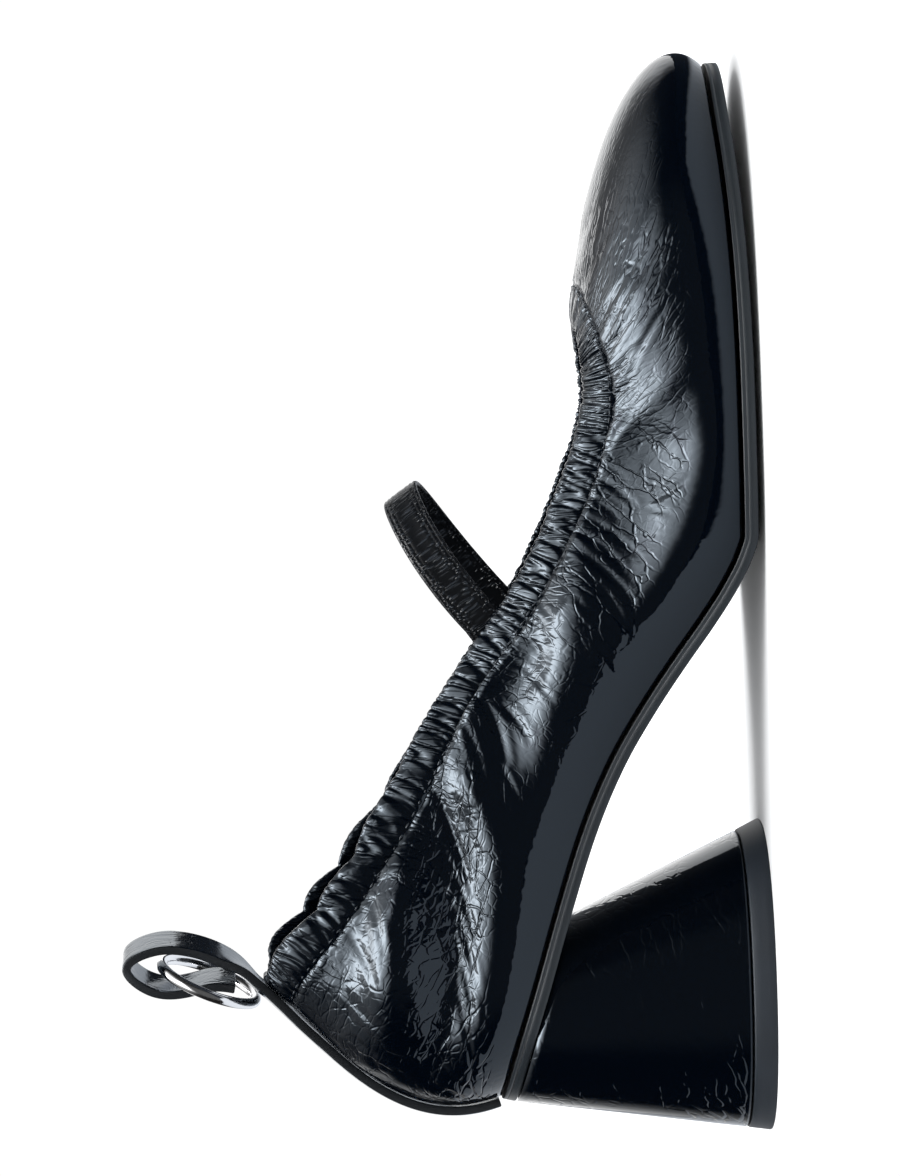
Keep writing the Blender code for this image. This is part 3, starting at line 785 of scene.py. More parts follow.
def build_creased_film():
    """Height in millimetres of cracks, wrinkles and pebble; Flat is a place on the laid-out film."""
    shares = [(part.socket, "NodeSocketFloat", 0.0) for part in FILM_PARTS]
    group, start, end = new_group(
        "creased_film",
        [("Flat", "NodeSocketVector", None)] + shares + [("Pebble", "NodeSocketFloat", 0.0)],
        [("Height", "NodeSocketFloat")])
    flat = start.outputs["Flat"]
    uneven = shaken(group, flat, 7.0, 2.4)
    fine = crack_web(group, uneven, (FINE_CELL, FINE_CELL, 1.0), FINE_WIDTH)
    total = calculate(group, "MULTIPLY", fine, start.outputs["Cracks"])
    total = calculate(group, "MULTIPLY", total, FINE_DEPTH)
    for part in FILM_PARTS:
        web = crack_web(group, uneven, (part.along, part.down, 1.0), part.width, radians(part.turn))
        height = calculate(group, "MULTIPLY", web, part.depth)
        total = calculate(group, "MULTIPLY_ADD", height, start.outputs[part.socket], total)
    pebble = noise_node(group, scaled(group, flat, (1 / PEBBLE[0], 1 / PEBBLE[1], 1.0)), detail=0.0)
    total = calculate(group, "MULTIPLY_ADD", pebble.outputs[0], start.outputs["Pebble"], total)
    group.links.new(total, end.inputs["Height"])
    return group


CREASED_FILM = build_creased_film()
print("creased_film:", [item.name for item in CREASED_FILM.interface.items_tree])

# %% Node group: dull grain
MOTTLES_PER_MM = 0.12


def build_dull_grain():
    """An even grain, its size and depth in millimetres, and a slow mottling from 0 to 1."""
    group, start, end = new_group(
        "dull_grain",
        [("Place", "NodeSocketVector", None), ("Size", "NodeSocketFloat", 0.5),
         ("Depth", "NodeSocketFloat", 0.05)],
        [("Height", "NodeSocketFloat"), ("Mottle", "NodeSocketFloat")])
    grains = noise_node(group, start.outputs["Place"], detail=3.0)
    group.links.new(calculate(group, "DIVIDE", 1.0, start.outputs["Size"]), grains.inputs["Scale"])
    height = calculate(group, "MULTIPLY", grains.outputs[0], start.outputs["Depth"])
    group.links.new(height, end.inputs["Height"])
    mottle = noise_node(group, start.outputs["Place"])
    mottle.inputs["Scale"].default_value = MOTTLES_PER_MM
    group.links.new(mottle.outputs[0], end.inputs["Mottle"])
    return group


DULL_GRAIN = build_dull_grain()
print("dull_grain:", [item.name for item in DULL_GRAIN.interface.items_tree])

# %% [markdown]
# ## Patent and dull materials
# The patent film is clear and the leather under it is blue-black, so nearly all its light is one
# mirror reflection of about four hundredths of the room. Cracks and streaks reach the shader as a
# Bump, whose distance of one millimetre lets the groups speak in millimetres. The strap's film is
# thicker and glossier, which a higher index of refraction gives.

# %% Helpers for materials
def principled(name, colour, roughness, **sockets):
    made = bpy.data.materials.new(name)
    made.use_nodes = True
    shader = made.node_tree.nodes["Principled BSDF"]
    shader.inputs["Base Color"].default_value = (*colour, 1.0)
    shader.inputs["Roughness"].default_value = roughness
    for socket, value in sockets.items():
        shader.inputs[socket.replace("_", " ")].default_value = value
    return made, made.node_tree, shader


def bump(tree, shader, height):
    """Bump by a height in millimetres."""
    made = add_node(tree, "ShaderNodeBump")
    made.inputs["Strength"].default_value = 1.0
    made.inputs["Distance"].default_value = MM
    tree.links.new(height, made.inputs["Height"])
    tree.links.new(made.outputs[0], shader.inputs["Normal"])


def place_in_mm(tree):
    """The piece's own coordinates in millimetres."""
    place = add_node(tree, "ShaderNodeTexCoord").outputs["Object"]
    return scaled(tree, place, (1 / MM, 1 / MM, 1 / MM))


def flat_in_mm(tree):
    """The place on the piece's own laid-out surface in millimetres."""
    flat = add_node(tree, "ShaderNodeUVMap", uv_map="surface")
    return scaled(tree, flat.outputs[0], (MAP_UNIT, MAP_UNIT, 1.0))


def mask(tree, name):
    return add_node(tree, "ShaderNodeAttribute", attribute_name=name).outputs["Fac"]


def two_tone(tree, shader, factor, dark, light):
    """A base colour that changes from one tone to the other by a share."""
    mix = add_node(tree, "ShaderNodeMix", data_type="RGBA")
    tree.links.new(factor, mix.inputs["Factor"])
    mix.inputs["A"].default_value = (*dark, 1.0)
    mix.inputs["B"].default_value = (*light, 1.0)
    tree.links.new(mix.outputs["Result"], shader.inputs["Base Color"])

# %% Materials
FILM_BLACK = (0.0002, 0.0009, 0.0024)
FILM_TINT = (0.76, 0.88, 1.0, 1.0)


def patent(name, roughness, cracks, streaks, fans, folds, gathers, pebble, ior=1.5):
    """Black patent leather; each share of the film's creases is a mask's name or a number."""
    made, tree, shader = principled(name, FILM_BLACK, roughness, Specular_Tint=FILM_TINT, IOR=ior)
    film = add_node(tree, "ShaderNodeGroup", node_tree=CREASED_FILM)
    tree.links.new(flat_in_mm(tree), film.inputs["Flat"])
    for part, value in zip(FILM_PARTS, (cracks, streaks, fans, folds, gathers)):
        if isinstance(value, str):
            tree.links.new(mask(tree, value), film.inputs[part.socket])
        else:
            film.inputs[part.socket].default_value = value
    film.inputs["Pebble"].default_value = pebble
    bump(tree, shader, film.outputs["Height"])
    return made


def dull(name, colour, roughness, size, depth):
    """A matt finish with an even grain of one size in millimetres, mottled a little in colour."""
    made, tree, shader = principled(name, colour, roughness)
    grain = add_node(tree, "ShaderNodeGroup", node_tree=DULL_GRAIN)
    tree.links.new(place_in_mm(tree), grain.inputs["Place"])
    grain.inputs["Size"].default_value = size
    grain.inputs["Depth"].default_value = depth
    bump(tree, shader, grain.outputs["Height"])
    darker, lighter = (tuple(share * c for c in colour) for share in (0.75, 1.25))
    two_tone(tree, shader, grain.outputs["Mottle"], darker, lighter)
    return made


UPPER_FINISH = patent("patent_leather", 0.045, "cracked", "streaked", "fanned", "folded", "gathered",
                      0.034)
CASING_FINISH = patent("gathered_patent", 0.065, 0.3, 0.0, 0.0, 0.0, 1.0, 0.03)
STRAP_FINISH = patent("strap_patent", 0.16, 0.20, 0.0, 0.0, 0.0, 0.30, 0.020, ior=2.1)
HEEL_FINISH = patent("heel_patent", 0.055, 0.0, 0.0, 0.0, 0.30, 0.0, 0.012)
STRAP_EDGE = dull("strap_edge", (0.0042, 0.0062, 0.0088), 0.5, 0.5, 0.05)
THREAD_FINISH = dull("black_thread", (0.030, 0.036, 0.044), 0.45, 0.2, 0.02)
SOLE_FINISH = dull("sole_edge", (0.0105, 0.0150, 0.0195), 0.42, 0.35, 0.02)
SOLE_UNDER = dull("sole_underside", (0.012, 0.012, 0.013), 0.55, 0.5, 0.04)
RUBBER_FINISH = dull("heel_rubber", (0.0095, 0.0140, 0.0205), 0.55, 0.4, 0.03)
LINING_FINISH = dull("lining_leather", (0.010, 0.011, 0.013), 0.6, 0.45, 0.05)
print("finishes:", len(bpy.data.materials))

# %% [markdown]
# ## The upper
# The upper is one skin of leather pulled over the last. Its broad swells come first, because they are
# what the studio is mirrored in: the leather bulges over the ball, sinks in a slanting hollow behind
# it, bulges again at the waist, and at the back it stands on the stiff counter and breaks over its top
# edge. Each swell is a line along the shoe's side, given row by row from the back by its height, how
# far it rises or sinks, and how far up and down it reaches. A smooth curve runs through the rows.

# %% Swells
Swell = namedtuple("Swell", "along height rise reach")
SWELLS = {
    "ball_band": [
        Swell(138.0, 42.0, 0.0, 4.5),
        Swell(146.0, 39.5, 0.4, 4.5),
        Swell(155.0, 35.5, 0.7, 4.5),
        Swell(163.0, 28.5, 0.75, 4.5),
        Swell(171.0, 20.0, 0.5, 4.5),
        Swell(182.0, 15.0, 0.0, 4.5),
    ],
    "ball_hollow": [
        Swell(114.0, 34.0, 0.0, 6.0),
        Swell(124.0, 31.0, -1.2, 6.0),
        Swell(133.0, 29.5, -1.5, 6.5),
        Swell(144.0, 25.5, -1.1, 7.0),
        Swell(155.0, 22.5, -1.3, 6.5),
        Swell(166.0, 21.0, 0.0, 6.0),
    ],
    "ball_ridge": [
        Swell(102.0, 47.0, 0.0, 5.0),
        Swell(112.0, 45.0, 0.5, 5.0),
        Swell(122.0, 43.0, 1.9, 6.0),
        Swell(133.0, 42.0, 1.7, 6.0),
        Swell(144.0, 40.5, 0.7, 6.0),
        Swell(152.0, 39.0, 0.0, 6.0),
    ],
    "rear_bulge": [
        Swell(10.0, 92.0, 0.0, 8.0),
        Swell(20.0, 89.0, 1.0, 8.0),
        Swell(33.0, 86.0, 2.6, 7.0),
        Swell(42.0, 85.0, 3.6, 5.8),
        Swell(51.0, 84.5, 3.8, 5.4),
        Swell(62.0, 82.0, 2.4, 5.0),
        Swell(76.0, 80.0, 0.0, 5.0),
    ],
    "rear_hollow": [
        Swell(10.0, 79.0, 0.0, 6.0),
        Swell(20.0, 76.0, -1.8, 6.0),
        Swell(33.0, 73.0, -3.2, 6.2),
        Swell(42.0, 71.5, -3.3, 6.0),
        Swell(51.0, 70.5, -3.1, 6.0),
        Swell(62.0, 70.5, -2.5, 5.6),
        Swell(73.0, 71.5, -1.6, 5.0),
        Swell(82.0, 73.5, -0.5, 4.5),
        Swell(90.0, 75.0, 0.0, 4.0),
    ],
    "vamp_ridge": [
        Swell(175.0, 28.0, 0.0, 6.0),
        Swell(184.0, 27.0, 0.5, 6.0),
        Swell(190.0, 26.0, 0.6, 5.5),
        Swell(199.0, 24.5, 0.0, 5.0),
    ],
    "waist_hollow": [
        Swell(74.0, 55.0, 0.0, 5.0),
        Swell(82.0, 56.0, -0.5, 5.5),
        Swell(91.0, 57.0, -1.4, 6.0),
        Swell(100.0, 57.0, -1.6, 6.0),
        Swell(111.0, 52.5, -1.3, 5.5),
        Swell(119.0, 50.0, 0.0, 5.0),
    ],
    "waist_ridge": [
        Swell(48.0, 60.0, 0.0, 4.5),
        Swell(60.0, 60.0, 0.1, 4.5),
        Swell(73.0, 63.5, 0.9, 4.5),
        Swell(82.0, 66.5, 1.7, 5.0),
        Swell(91.0, 67.0, 1.2, 5.0),
        Swell(100.0, 67.0, 1.6, 5.0),
        Swell(111.0, 61.0, 1.1, 4.5),
        Swell(118.0, 57.0, 0.0, 4.5),
    ],
}
for name, line in SWELLS.items():
    print(name, "from", line[0].along, "to", line[-1].along)

# %% Relief of the swells
def swell_relief(along, height):
    """How far the swells stand out of the smooth surface, in millimetres."""
    relief = np.zeros(np.shape(along))
    for line in SWELLS.values():
        knots = rows(line, "along")
        at = np.clip(along, knots[0], knots[-1])
        columns = [rows(line, name) for name in ("height", "rise", "reach")]
        level, rise, reach = (hermite(knots, column, level_slopes(knots, column), at)
                              for column in columns)
        rise = rise * soft(along, knots[0], knots[1]) * soft(along, knots[-1], knots[-2])
        relief += rise * np.exp(-((height - level) / reach) ** 2)
    return relief


print("swell over the heel, in mm:", round(float(swell_relief(51.0, 84.5)), 2))

# %% [markdown]
# ## Creases laid one by one
# Leather that has been bent keeps its creases in the same places on every shoe: across the ball, out
# of the ends of the elastic collar, and down towards the heel. Each row is one crease as a bowed line
# on the side of the shoe, by its places along and its heights, with a width and a depth. A crease is a
# soft trough between two low shoulders, and it fades out towards both ends.

# %% Creases
Crease = namedtuple("Crease", "side along height along_end height_end bow width depth")
OUTER, INNER, BOTH = -1, 1, 0
CREASES = [
    # out of the casing's seam, down and back through the slanting hollow
    Crease(OUTER, 139.0, 43.0, 129.0, 31.5, 1.3, 0.72, 0.28),
    Crease(OUTER, 134.5, 41.5, 119.5, 28.5, 1.0, 0.77, 0.29),
    Crease(OUTER, 128.0, 39.0, 113.5, 30.5, 1.0, 0.77, 0.26),
    Crease(OUTER, 113.5, 39.5, 104.0, 33.5, 0.4, 0.63, 0.21),
    Crease(OUTER, 118.0, 40.5, 109.0, 34.5, 0.5, 0.63, 0.20),
    Crease(OUTER, 124.0, 42.0, 117.0, 35.0, -0.6, 0.63, 0.18),
    Crease(INNER, 137.0, 42.0, 126.0, 31.0, 1.2, 0.77, 0.28),
    Crease(INNER, 128.0, 41.0, 115.0, 30.0, 1.0, 0.77, 0.28),
    # puckers that fan out of the seam over the ball
    Crease(OUTER, 152.0, 39.0, 142.5, 28.0, 0.8, 0.62, 0.20),
    Crease(OUTER, 148.0, 40.5, 140.0, 32.0, 0.5, 0.62, 0.16),
    Crease(OUTER, 155.5, 38.5, 149.0, 30.0, 0.5, 0.62, 0.15),
    Crease(OUTER, 143.5, 43.0, 131.0, 27.5, 1.2, 0.62, 0.20),
    Crease(OUTER, 144.0, 28.0, 149.5, 16.5, -0.8, 0.62, 0.16),
    Crease(OUTER, 143.0, 28.5, 141.0, 20.0, 0.4, 0.62, 0.13),
    Crease(OUTER, 155.5, 34.0, 164.0, 27.5, 0.6, 0.63, 0.20),
    Crease(OUTER, 153.0, 36.0, 166.0, 31.5, 0.8, 0.62, 0.16),
    Crease(BOTH, 158.5, 38.0, 172.0, 27.0, 1.0, 0.72, 0.21),
    Crease(BOTH, 163.0, 37.5, 180.0, 25.0, 1.2, 0.72, 0.20),
    # the fan of the vamp, from the seam's front forward and down
    Crease(BOTH, 170.0, 37.0, 187.0, 26.0, 0.8, 0.77, 0.21),
    Crease(BOTH, 176.0, 37.5, 196.0, 27.0, 0.9, 0.77, 0.21),
    Crease(BOTH, 184.0, 40.0, 206.0, 31.0, 1.0, 0.77, 0.21),
    Crease(BOTH, 188.0, 41.0, 211.0, 34.0, 1.0, 0.72, 0.20),
    Crease(BOTH, 190.0, 42.0, 214.0, 36.5, 0.8, 0.63, 0.18),
    Crease(OUTER, 181.0, 33.0, 200.0, 21.5, 0.8, 0.63, 0.16),
    Crease(OUTER, 172.0, 29.0, 190.0, 18.0, 0.8, 0.62, 0.15),
    # the waist: one long double crease beside the seam, and short ones that leave it
    Crease(BOTH, 105.0, 65.0, 85.5, 59.0, 1.2, 1.03, 0.36),
    Crease(BOTH, 102.0, 62.0, 91.0, 53.0, 0.9, 0.77, 0.28),
    Crease(OUTER, 111.0, 58.0, 99.0, 47.0, 0.8, 0.63, 0.20),
    Crease(OUTER, 123.5, 51.0, 117.0, 46.0, 0.4, 0.62, 0.18),
    Crease(OUTER, 117.0, 55.0, 110.0, 50.0, 0.4, 0.62, 0.16),
    Crease(BOTH, 98.0, 68.0, 80.0, 63.0, 0.8, 0.77, 0.24),
    Crease(OUTER, 89.0, 62.0, 78.0, 56.0, 0.5, 0.63, 0.18),
    # across the rear folds: long wrinkles that run down and back
    Crease(BOTH, 84.0, 76.0, 62.0, 69.0, 1.0, 0.90, 0.34),
    Crease(BOTH, 78.0, 74.5, 54.0, 67.0, 0.8, 0.90, 0.36),
    Crease(BOTH, 68.0, 73.5, 44.0, 66.5, 0.8, 0.85, 0.34),
    Crease(BOTH, 58.0, 72.5, 35.0, 67.0, 0.8, 0.85, 0.34),
    Crease(BOTH, 48.0, 72.0, 26.0, 67.5, 0.8, 0.77, 0.31),
    Crease(BOTH, 62.0, 74.5, 38.0, 71.5, 0.8, 0.85, 0.29),
    Crease(BOTH, 36.0, 71.5, 19.0, 68.0, 0.6, 0.77, 0.26),
    Crease(BOTH, 58.0, 90.0, 44.0, 86.0, 0.8, 0.90, 0.29),
    Crease(BOTH, 50.0, 95.0, 38.0, 88.0, 0.6, 0.90, 0.28),
    # round the rear corner beside the back strip, curving up towards the loop
    Crease(BOTH, 12.0, 66.0, 22.0, 78.0, 1.4, 0.77, 0.28),
    Crease(BOTH, 11.0, 70.0, 21.0, 84.0, 1.2, 0.72, 0.24),
    Crease(BOTH, 16.0, 76.0, 33.0, 96.0, 1.4, 0.85, 0.29),
    Crease(BOTH, 20.0, 80.0, 27.0, 95.0, 1.0, 0.77, 0.26),
    Crease(BOTH, 24.0, 80.0, 38.0, 97.0, 1.2, 0.77, 0.28),
    Crease(BOTH, 14.0, 68.0, 30.0, 71.0, -0.8, 0.72, 0.23),
]
print("creases:", len(CREASES))

# %% Relief of the creases
SHOULDER = 0.45
SHOULDER_AT = 1.9
SHOULDER_WIDTH = 0.9
CREASE_ENDS = 0.6


def crease_relief(across, along, height):
    """Depth of every crease at every corner, from its distance to the bowed line."""
    relief = np.zeros(np.shape(along))
    for crease in CREASES:
        run = np.array([crease.along_end - crease.along, crease.height_end - crease.height])
        size = np.hypot(*run)
        ahead = run / size
        aside = np.array([-run[1], run[0]]) / size
        from_start = np.stack([along - crease.along, height - crease.height], axis=-1)
        share = np.clip(from_start @ ahead / size, 0.0, 1.0)
        past_ends = from_start @ ahead - share * size
        beside = from_start @ aside - 4 * crease.bow * share * (1 - share)
        gap = np.hypot(beside, past_ends) / crease.width
        trough = np.exp(-gap ** 2)
        shoulders = SHOULDER * np.exp(-((gap - SHOULDER_AT) / SHOULDER_WIDTH) ** 2)
        own_side = across * crease.side > 0 if crease.side != BOTH else True
        relief += crease.depth * np.sin(pi * share) ** CREASE_ENDS * (shoulders - trough) * own_side
    return relief


print("relief in the waist's long crease:", np.round(crease_relief(-1.0, 95.6, 60.85), 2), "mm")

# %% [markdown]
# ## Skin of the upper
# The skin is a fine grid wrapped once round the shoe, from the sole to just under the casing. Its
# relief is the sum of the swells, the creases, a few soft lumps and the little puckers that the elastic
# pulls into the seam; near the sole and over the toe it is lasted smooth. Masks written beside it tell
# the finish where its finer cracks, streaks and fans belong. A second, coarse sheet inside gives the
# skin its thickness, and the two are bridged along the sole and along the collar.

# %% The upper's sheet
UPPER_COLUMNS = 760
UPPER_ROWS = 116
INNER_ROWS = 8
SKIN = 0.9
TUCK = 0.8
seam_stations = np.linspace(0.0, GIRTH, 97)
seam_v = np.array([v_below_collar(s, CASING_WIDTH) for s in seam_stations])
tuck_v = np.array([v_below_collar(s, CASING_WIDTH - TUCK) for s in seam_stations])


def upper_surface(u, v):
    around_shoe = u * GIRTH
    return shoe(around_shoe, v * np.interp(around_shoe, seam_stations, tuck_v))


def beside_strip(along, across):
    """0 under the back strip, where the leather lies flat, and 1 beside it."""
    return 1 - soft(np.abs(across), 8.5, 4.5) * soft(along, 70.0, 40.0)


def within(points, inset):
    """The same lattice moved inside the skin; where the skin sinks, it sinks as well."""
    along, across, height = np.moveaxis(points, -1, 0)
    sunk = np.minimum(swell_relief(along, height), 0.0) * beside_strip(along, across)
    return points + normals_of(points, closed=True) * (sunk - inset)[..., None]


def lengths_up(points):
    """Distance of each corner up its own column, and down from the column's top."""
    steps = np.linalg.norm(np.diff(points, axis=0), axis=-1)
    up = np.concatenate([np.zeros((1, steps.shape[1])), np.cumsum(steps, axis=0)])
    return up, up[-1] - up


print("the casing's lower edge is at v from", np.round(seam_v.min(), 2), "to", np.round(seam_v.max(), 2))

# %% Relief of the upper
def loose_leather(along, up):
    """How high the leather is lasted tight, and from 0 to 1 how loose it is at each corner."""
    lasted = 12.0 + 5.0 * soft(along, 110.0, 128.0) * (1 - soft(along, 132.0, 150.0))
    lasted -= 2.0 * soft(along, 150.0, 175.0)
    toe = soft(along, 196.0, 226.0)
    return lasted, soft(up, lasted - 1.5, lasted + 4.0) * (1 - 0.9 * toe)


def ridged(points, size, seed):
    """Noise folded into sharp crests: 1 on a crest, 0 far from it."""
    return 1 - np.abs(noise_at(points, size, seed)) * 2.0


def seam_puckers(around_shoe, down, across, along, wander):
    """Short crests that leave the casing's seam."""
    place = np.stack([around_shoe / 2.4, down / 9.0, across / 40.0], axis=-1) + 0.25 * wander
    return ridged(place, 1.0, 8.0) * np.exp(-(down / 4.0)) * (0.26 - 0.14 * soft(along, 145.0, 160.0))


def upper_relief(base, around_shoe, up, down, loose):
    """How far the leather stands out of the smooth surface, in millimetres."""
    along, across, height = np.moveaxis(base, -1, 0)
    wander = np.stack([noise_at(base, 9.0, seed) for seed in (3.0, 17.0, 31.0)], axis=-1)
    lumps = 0.28 * noise_at(base, (16.0, 12.0, 9.0), 40.0) + 0.07 * noise_at(base, (7.0, 6.0, 4.0), 50.0)
    crumple = 0.10 * (ridged(base + 1.6 * wander, (7.0, 5.0, 3.4), 60.0) - 0.5)
    crumple *= (1 - soft(along, 80.0, 98.0)) * soft(height, 66.0, 71.0)
    relief = swell_relief(along, height) + crease_relief(across, along, height)
    relief += (lumps + crumple) * loose
    relief += seam_puckers(around_shoe, down, across, along, wander) * soft(up, 6.0, 14.0)
    relief -= 0.5 * soft(down, 1.6, 0.0)
    relief *= soft(up, 0.0, 3.0)
    relief -= 0.7 * soft(up, 0.9, 0.0)
    return relief * beside_strip(along, across)

# %% Masks for the upper's finish
def upper_masks(base, up, down, lasted, loose):
    """Shares of the film's creases at every corner, by the names that the finish reads."""
    along, across, height = np.moveaxis(base, -1, 0)
    streaks = soft(along, 148.0, 168.0) * (0.3 + 0.7 * soft(along, 222.0, 204.0))
    streaks *= soft(up, lasted, lasted + 6.0)
    fan = soft(along, 108.0, 116.0) * soft(along, 172.0, 156.0)
    patchy = 0.5 + 0.5 * soft(noise_at(base, 20.0, 70.0), -0.3, 0.3)
    folds = soft(along, 96.0, 84.0) * soft(height, 62.5, 66.0) * (1 - 0.6 * soft(height, 74.0, 77.0))
    return {
        "fanned": loose * fan,
        "cracked": loose * (1 - 0.75 * fan) * (1 - 0.8 * streaks) * patchy,
        "streaked": streaks * (0.45 + 0.55 * soft(along, 172.0, 188.0)),
        "folded": folds * soft(np.abs(across), 6.0, 12.0),
        "gathered": loose * np.exp(-down / 6.0),
    }

# %% Upper
def join_sheets(sheet, other):
    """Add another bmesh's faces to this one."""
    data = bpy.data.meshes.new("joined")
    other.to_mesh(data)
    other.free()
    sheet.from_mesh(data)
    bpy.data.meshes.remove(data)


def bridge_rims(skin):
    """Close the gap between the outer and the inner sheet, along the sole and along the collar."""
    level = skin.verts.layers.float["level"]
    rims = [edge for edge in skin.edges if edge.is_boundary]
    for at_collar in (False, True):
        pair = [edge for edge in rims if (edge.verts[0][level] > 0.5) == at_collar]
        bmesh.ops.bridge_loops(skin, edges=pair)


def finish_upper():
    u, v = lattice(UPPER_COLUMNS, UPPER_ROWS)
    base = upper_surface(u, v)
    up, down = lengths_up(base)
    lasted, loose = loose_leather(base[..., 0], up)
    relief = upper_relief(base, u * GIRTH, up, down, loose)
    shaped = base + normals_of(base, closed=True) * relief[..., None]
    skin = lay_sheet(UPPER_COLUMNS, UPPER_ROWS, lambda u, v: shaped)
    add_mask(skin, "level", v)
    for name, values in upper_masks(base, up, down, lasted, loose).items():
        add_mask(skin, name, values)
    stretch_surface_map(skin, np.abs(u * GIRTH - TOE_AT), down)
    inner = lay_sheet(UPPER_COLUMNS, INNER_ROWS, lambda u, v: within(upper_surface(u, v), SKIN))
    add_mask(inner, "level", lattice(UPPER_COLUMNS, INNER_ROWS)[1])
    bmesh.ops.reverse_faces(inner, faces=inner.faces)
    join_sheets(skin, inner)
    merge(skin)
    bridge_rims(skin)
    to_object("upper_leather", skin, [UPPER_FINISH], replaced="upper")


finish_upper()

# %% [markdown]
# ## Casing round the collar
# The collar is a narrow band of the same leather folded over a flat elastic. The elastic pulls it
# short, so it stands in a row of small gathers square to its edge, and towards the heel its top line
# breaks into scallops between the places where the elastic is caught. We sweep one closed, rounded
# section round the shoe on the upper's own surface: a grid whose one side goes round the shoe and whose
# other side goes round the band.

# %% The band's section and scallops
CASING_COLUMNS = 1320
CASING_RING = 36
CASING_FULLNESS = 2.6
Scallops = namedtuple("Scallops", "rise caught")
SCALLOPS_OUTSIDE = Scallops(1.7, (42.6, 55.0, 67.0, 86.0, 99.0))
SCALLOPS_INSIDE = Scallops(2.4, (42.0, 52.5, 62.5, 77.5, 94.0))
SCALLOP_ROUND = 0.8
SCALLOP_NOTCH = 0.35


def rounded(turn, power):
    """A sine and a cosine whose curve is fuller than a circle."""
    return (np.copysign(np.abs(part) ** power, part) for part in (np.sin(turn), np.cos(turn)))


def band_section(turn):
    """Place on the band's section: up the band from 0 to 1, and outwards in millimetres."""
    outwards, across_band = rounded(turn, 2 / CASING_FULLNESS)
    middle = CASING_PROUD - CASING_WALL / 2
    return 0.5 - 0.5 * across_band, middle + outwards * CASING_WALL / 2


def scallops(along, side):
    """How far the top line rises between the places where the elastic is caught, in millimetres."""
    outside, inside = (np.abs(np.sin(pi * np.interp(along, row.caught, range(len(row.caught)))))
                       for row in (SCALLOPS_OUTSIDE, SCALLOPS_INSIDE))
    rise = np.where(side < 0, SCALLOPS_OUTSIDE.rise, SCALLOPS_INSIDE.rise)
    return rise * (np.where(side < 0, outside, inside) ** SCALLOP_ROUND - SCALLOP_NOTCH)


print("scallops rise by", SCALLOPS_OUTSIDE.rise, "and", SCALLOPS_INSIDE.rise, "mm")

# %% The band's surface
GATHER = 2.3
GATHER_SLANT = 3.5
GATHER_DEPTH = 0.55
SLOW_DEPTH = 0.45


def casing_noise(s, up, side, size, seed):
    """Noise along the band; size is its length round the shoe and its count up the band."""
    return noise_at(np.stack([s / size[0], up * size[1], side], axis=-1), 1.0, seed)


def held_down(s):
    """0 where the band lies flat under the strap, little at the vamp, 1 elsewhere."""
    under_strap = soft(np.abs(s - GIRTH / 2), GIRTH / 2 - 6.0, GIRTH / 2 - 9.0)
    return under_strap * (0.25 + 0.75 * soft(np.abs(s - TOE_AT), 10.0, 40.0))


def casing_surface(u, v):
    s = u * GIRTH
    up, out = band_section(v * 2 * pi)
    low = np.interp(s, seam_stations, seam_v)
    side = np.sign(collar_across(s))
    rear = 1 - soft(collar_along(s), 70.0, 100.0)
    lumps = noise_at(np.stack([s / 8.5, side * 3.0, 0 * s], axis=-1), 1.0, 5.0) * 0.35
    lobe = scallops(collar_along(s), side) * rear
    slanted = np.abs(s - TOE_AT) + GATHER_SLANT * up
    gathers = soft(np.abs(casing_noise(slanted, up, side * 7.0, (GATHER, 0.9), 21.0)), 0.0, 0.24)
    slow = casing_noise(s, up, side * 9.0, (5.5, 1.1), 33.0)
    held = held_down(s)
    rim = soft(up, 0.0, 0.14)
    relief = (GATHER_DEPTH * gathers - 0.40 + SLOW_DEPTH * slow) * (0.35 + 0.65 * rim) * held
    relief += 0.33 * lobe * up * held
    v_at = low + (1 - low) * up
    points = shoe(s, v_at)
    ahead = shoe(s + 0.3, v_at) - shoe(s - 0.3, v_at)
    upward = shoe(s, v_at) - shoe(s, v_at - 0.01)
    normal = np.cross(ahead, upward)
    normal /= np.linalg.norm(normal, axis=-1)[..., None]
    upward /= np.linalg.norm(upward, axis=-1)[..., None]
    sway = (out - CASING_PROUD) / CASING_WALL * 2 + 1.1
    rise = up ** 2 * (lumps + 0.30 * gathers * (1 - 0.7 * rear) - 0.2 + lobe) * held
    return points + normal * (out + relief * sway)[..., None] + upward * rise[..., None]

# %% Casing
def make_casing():
    band = lay_sheet(CASING_COLUMNS, CASING_RING, casing_surface)
    u, v = lattice(CASING_COLUMNS, CASING_RING)
    stretch_surface_map(band, u * GIRTH, v * 2 * CASING_WIDTH)
    merge(band)
    to_object("collar_band", band, [CASING_FINISH], replaced="collar_casing")


make_casing()

# %% Stitches
STITCH_EVERY = 2.7
STITCH_LEVEL = 0.1155
STITCH_ENDS = 10.0
STITCH_LONG = 0.85
STITCH_THICK = 0.2


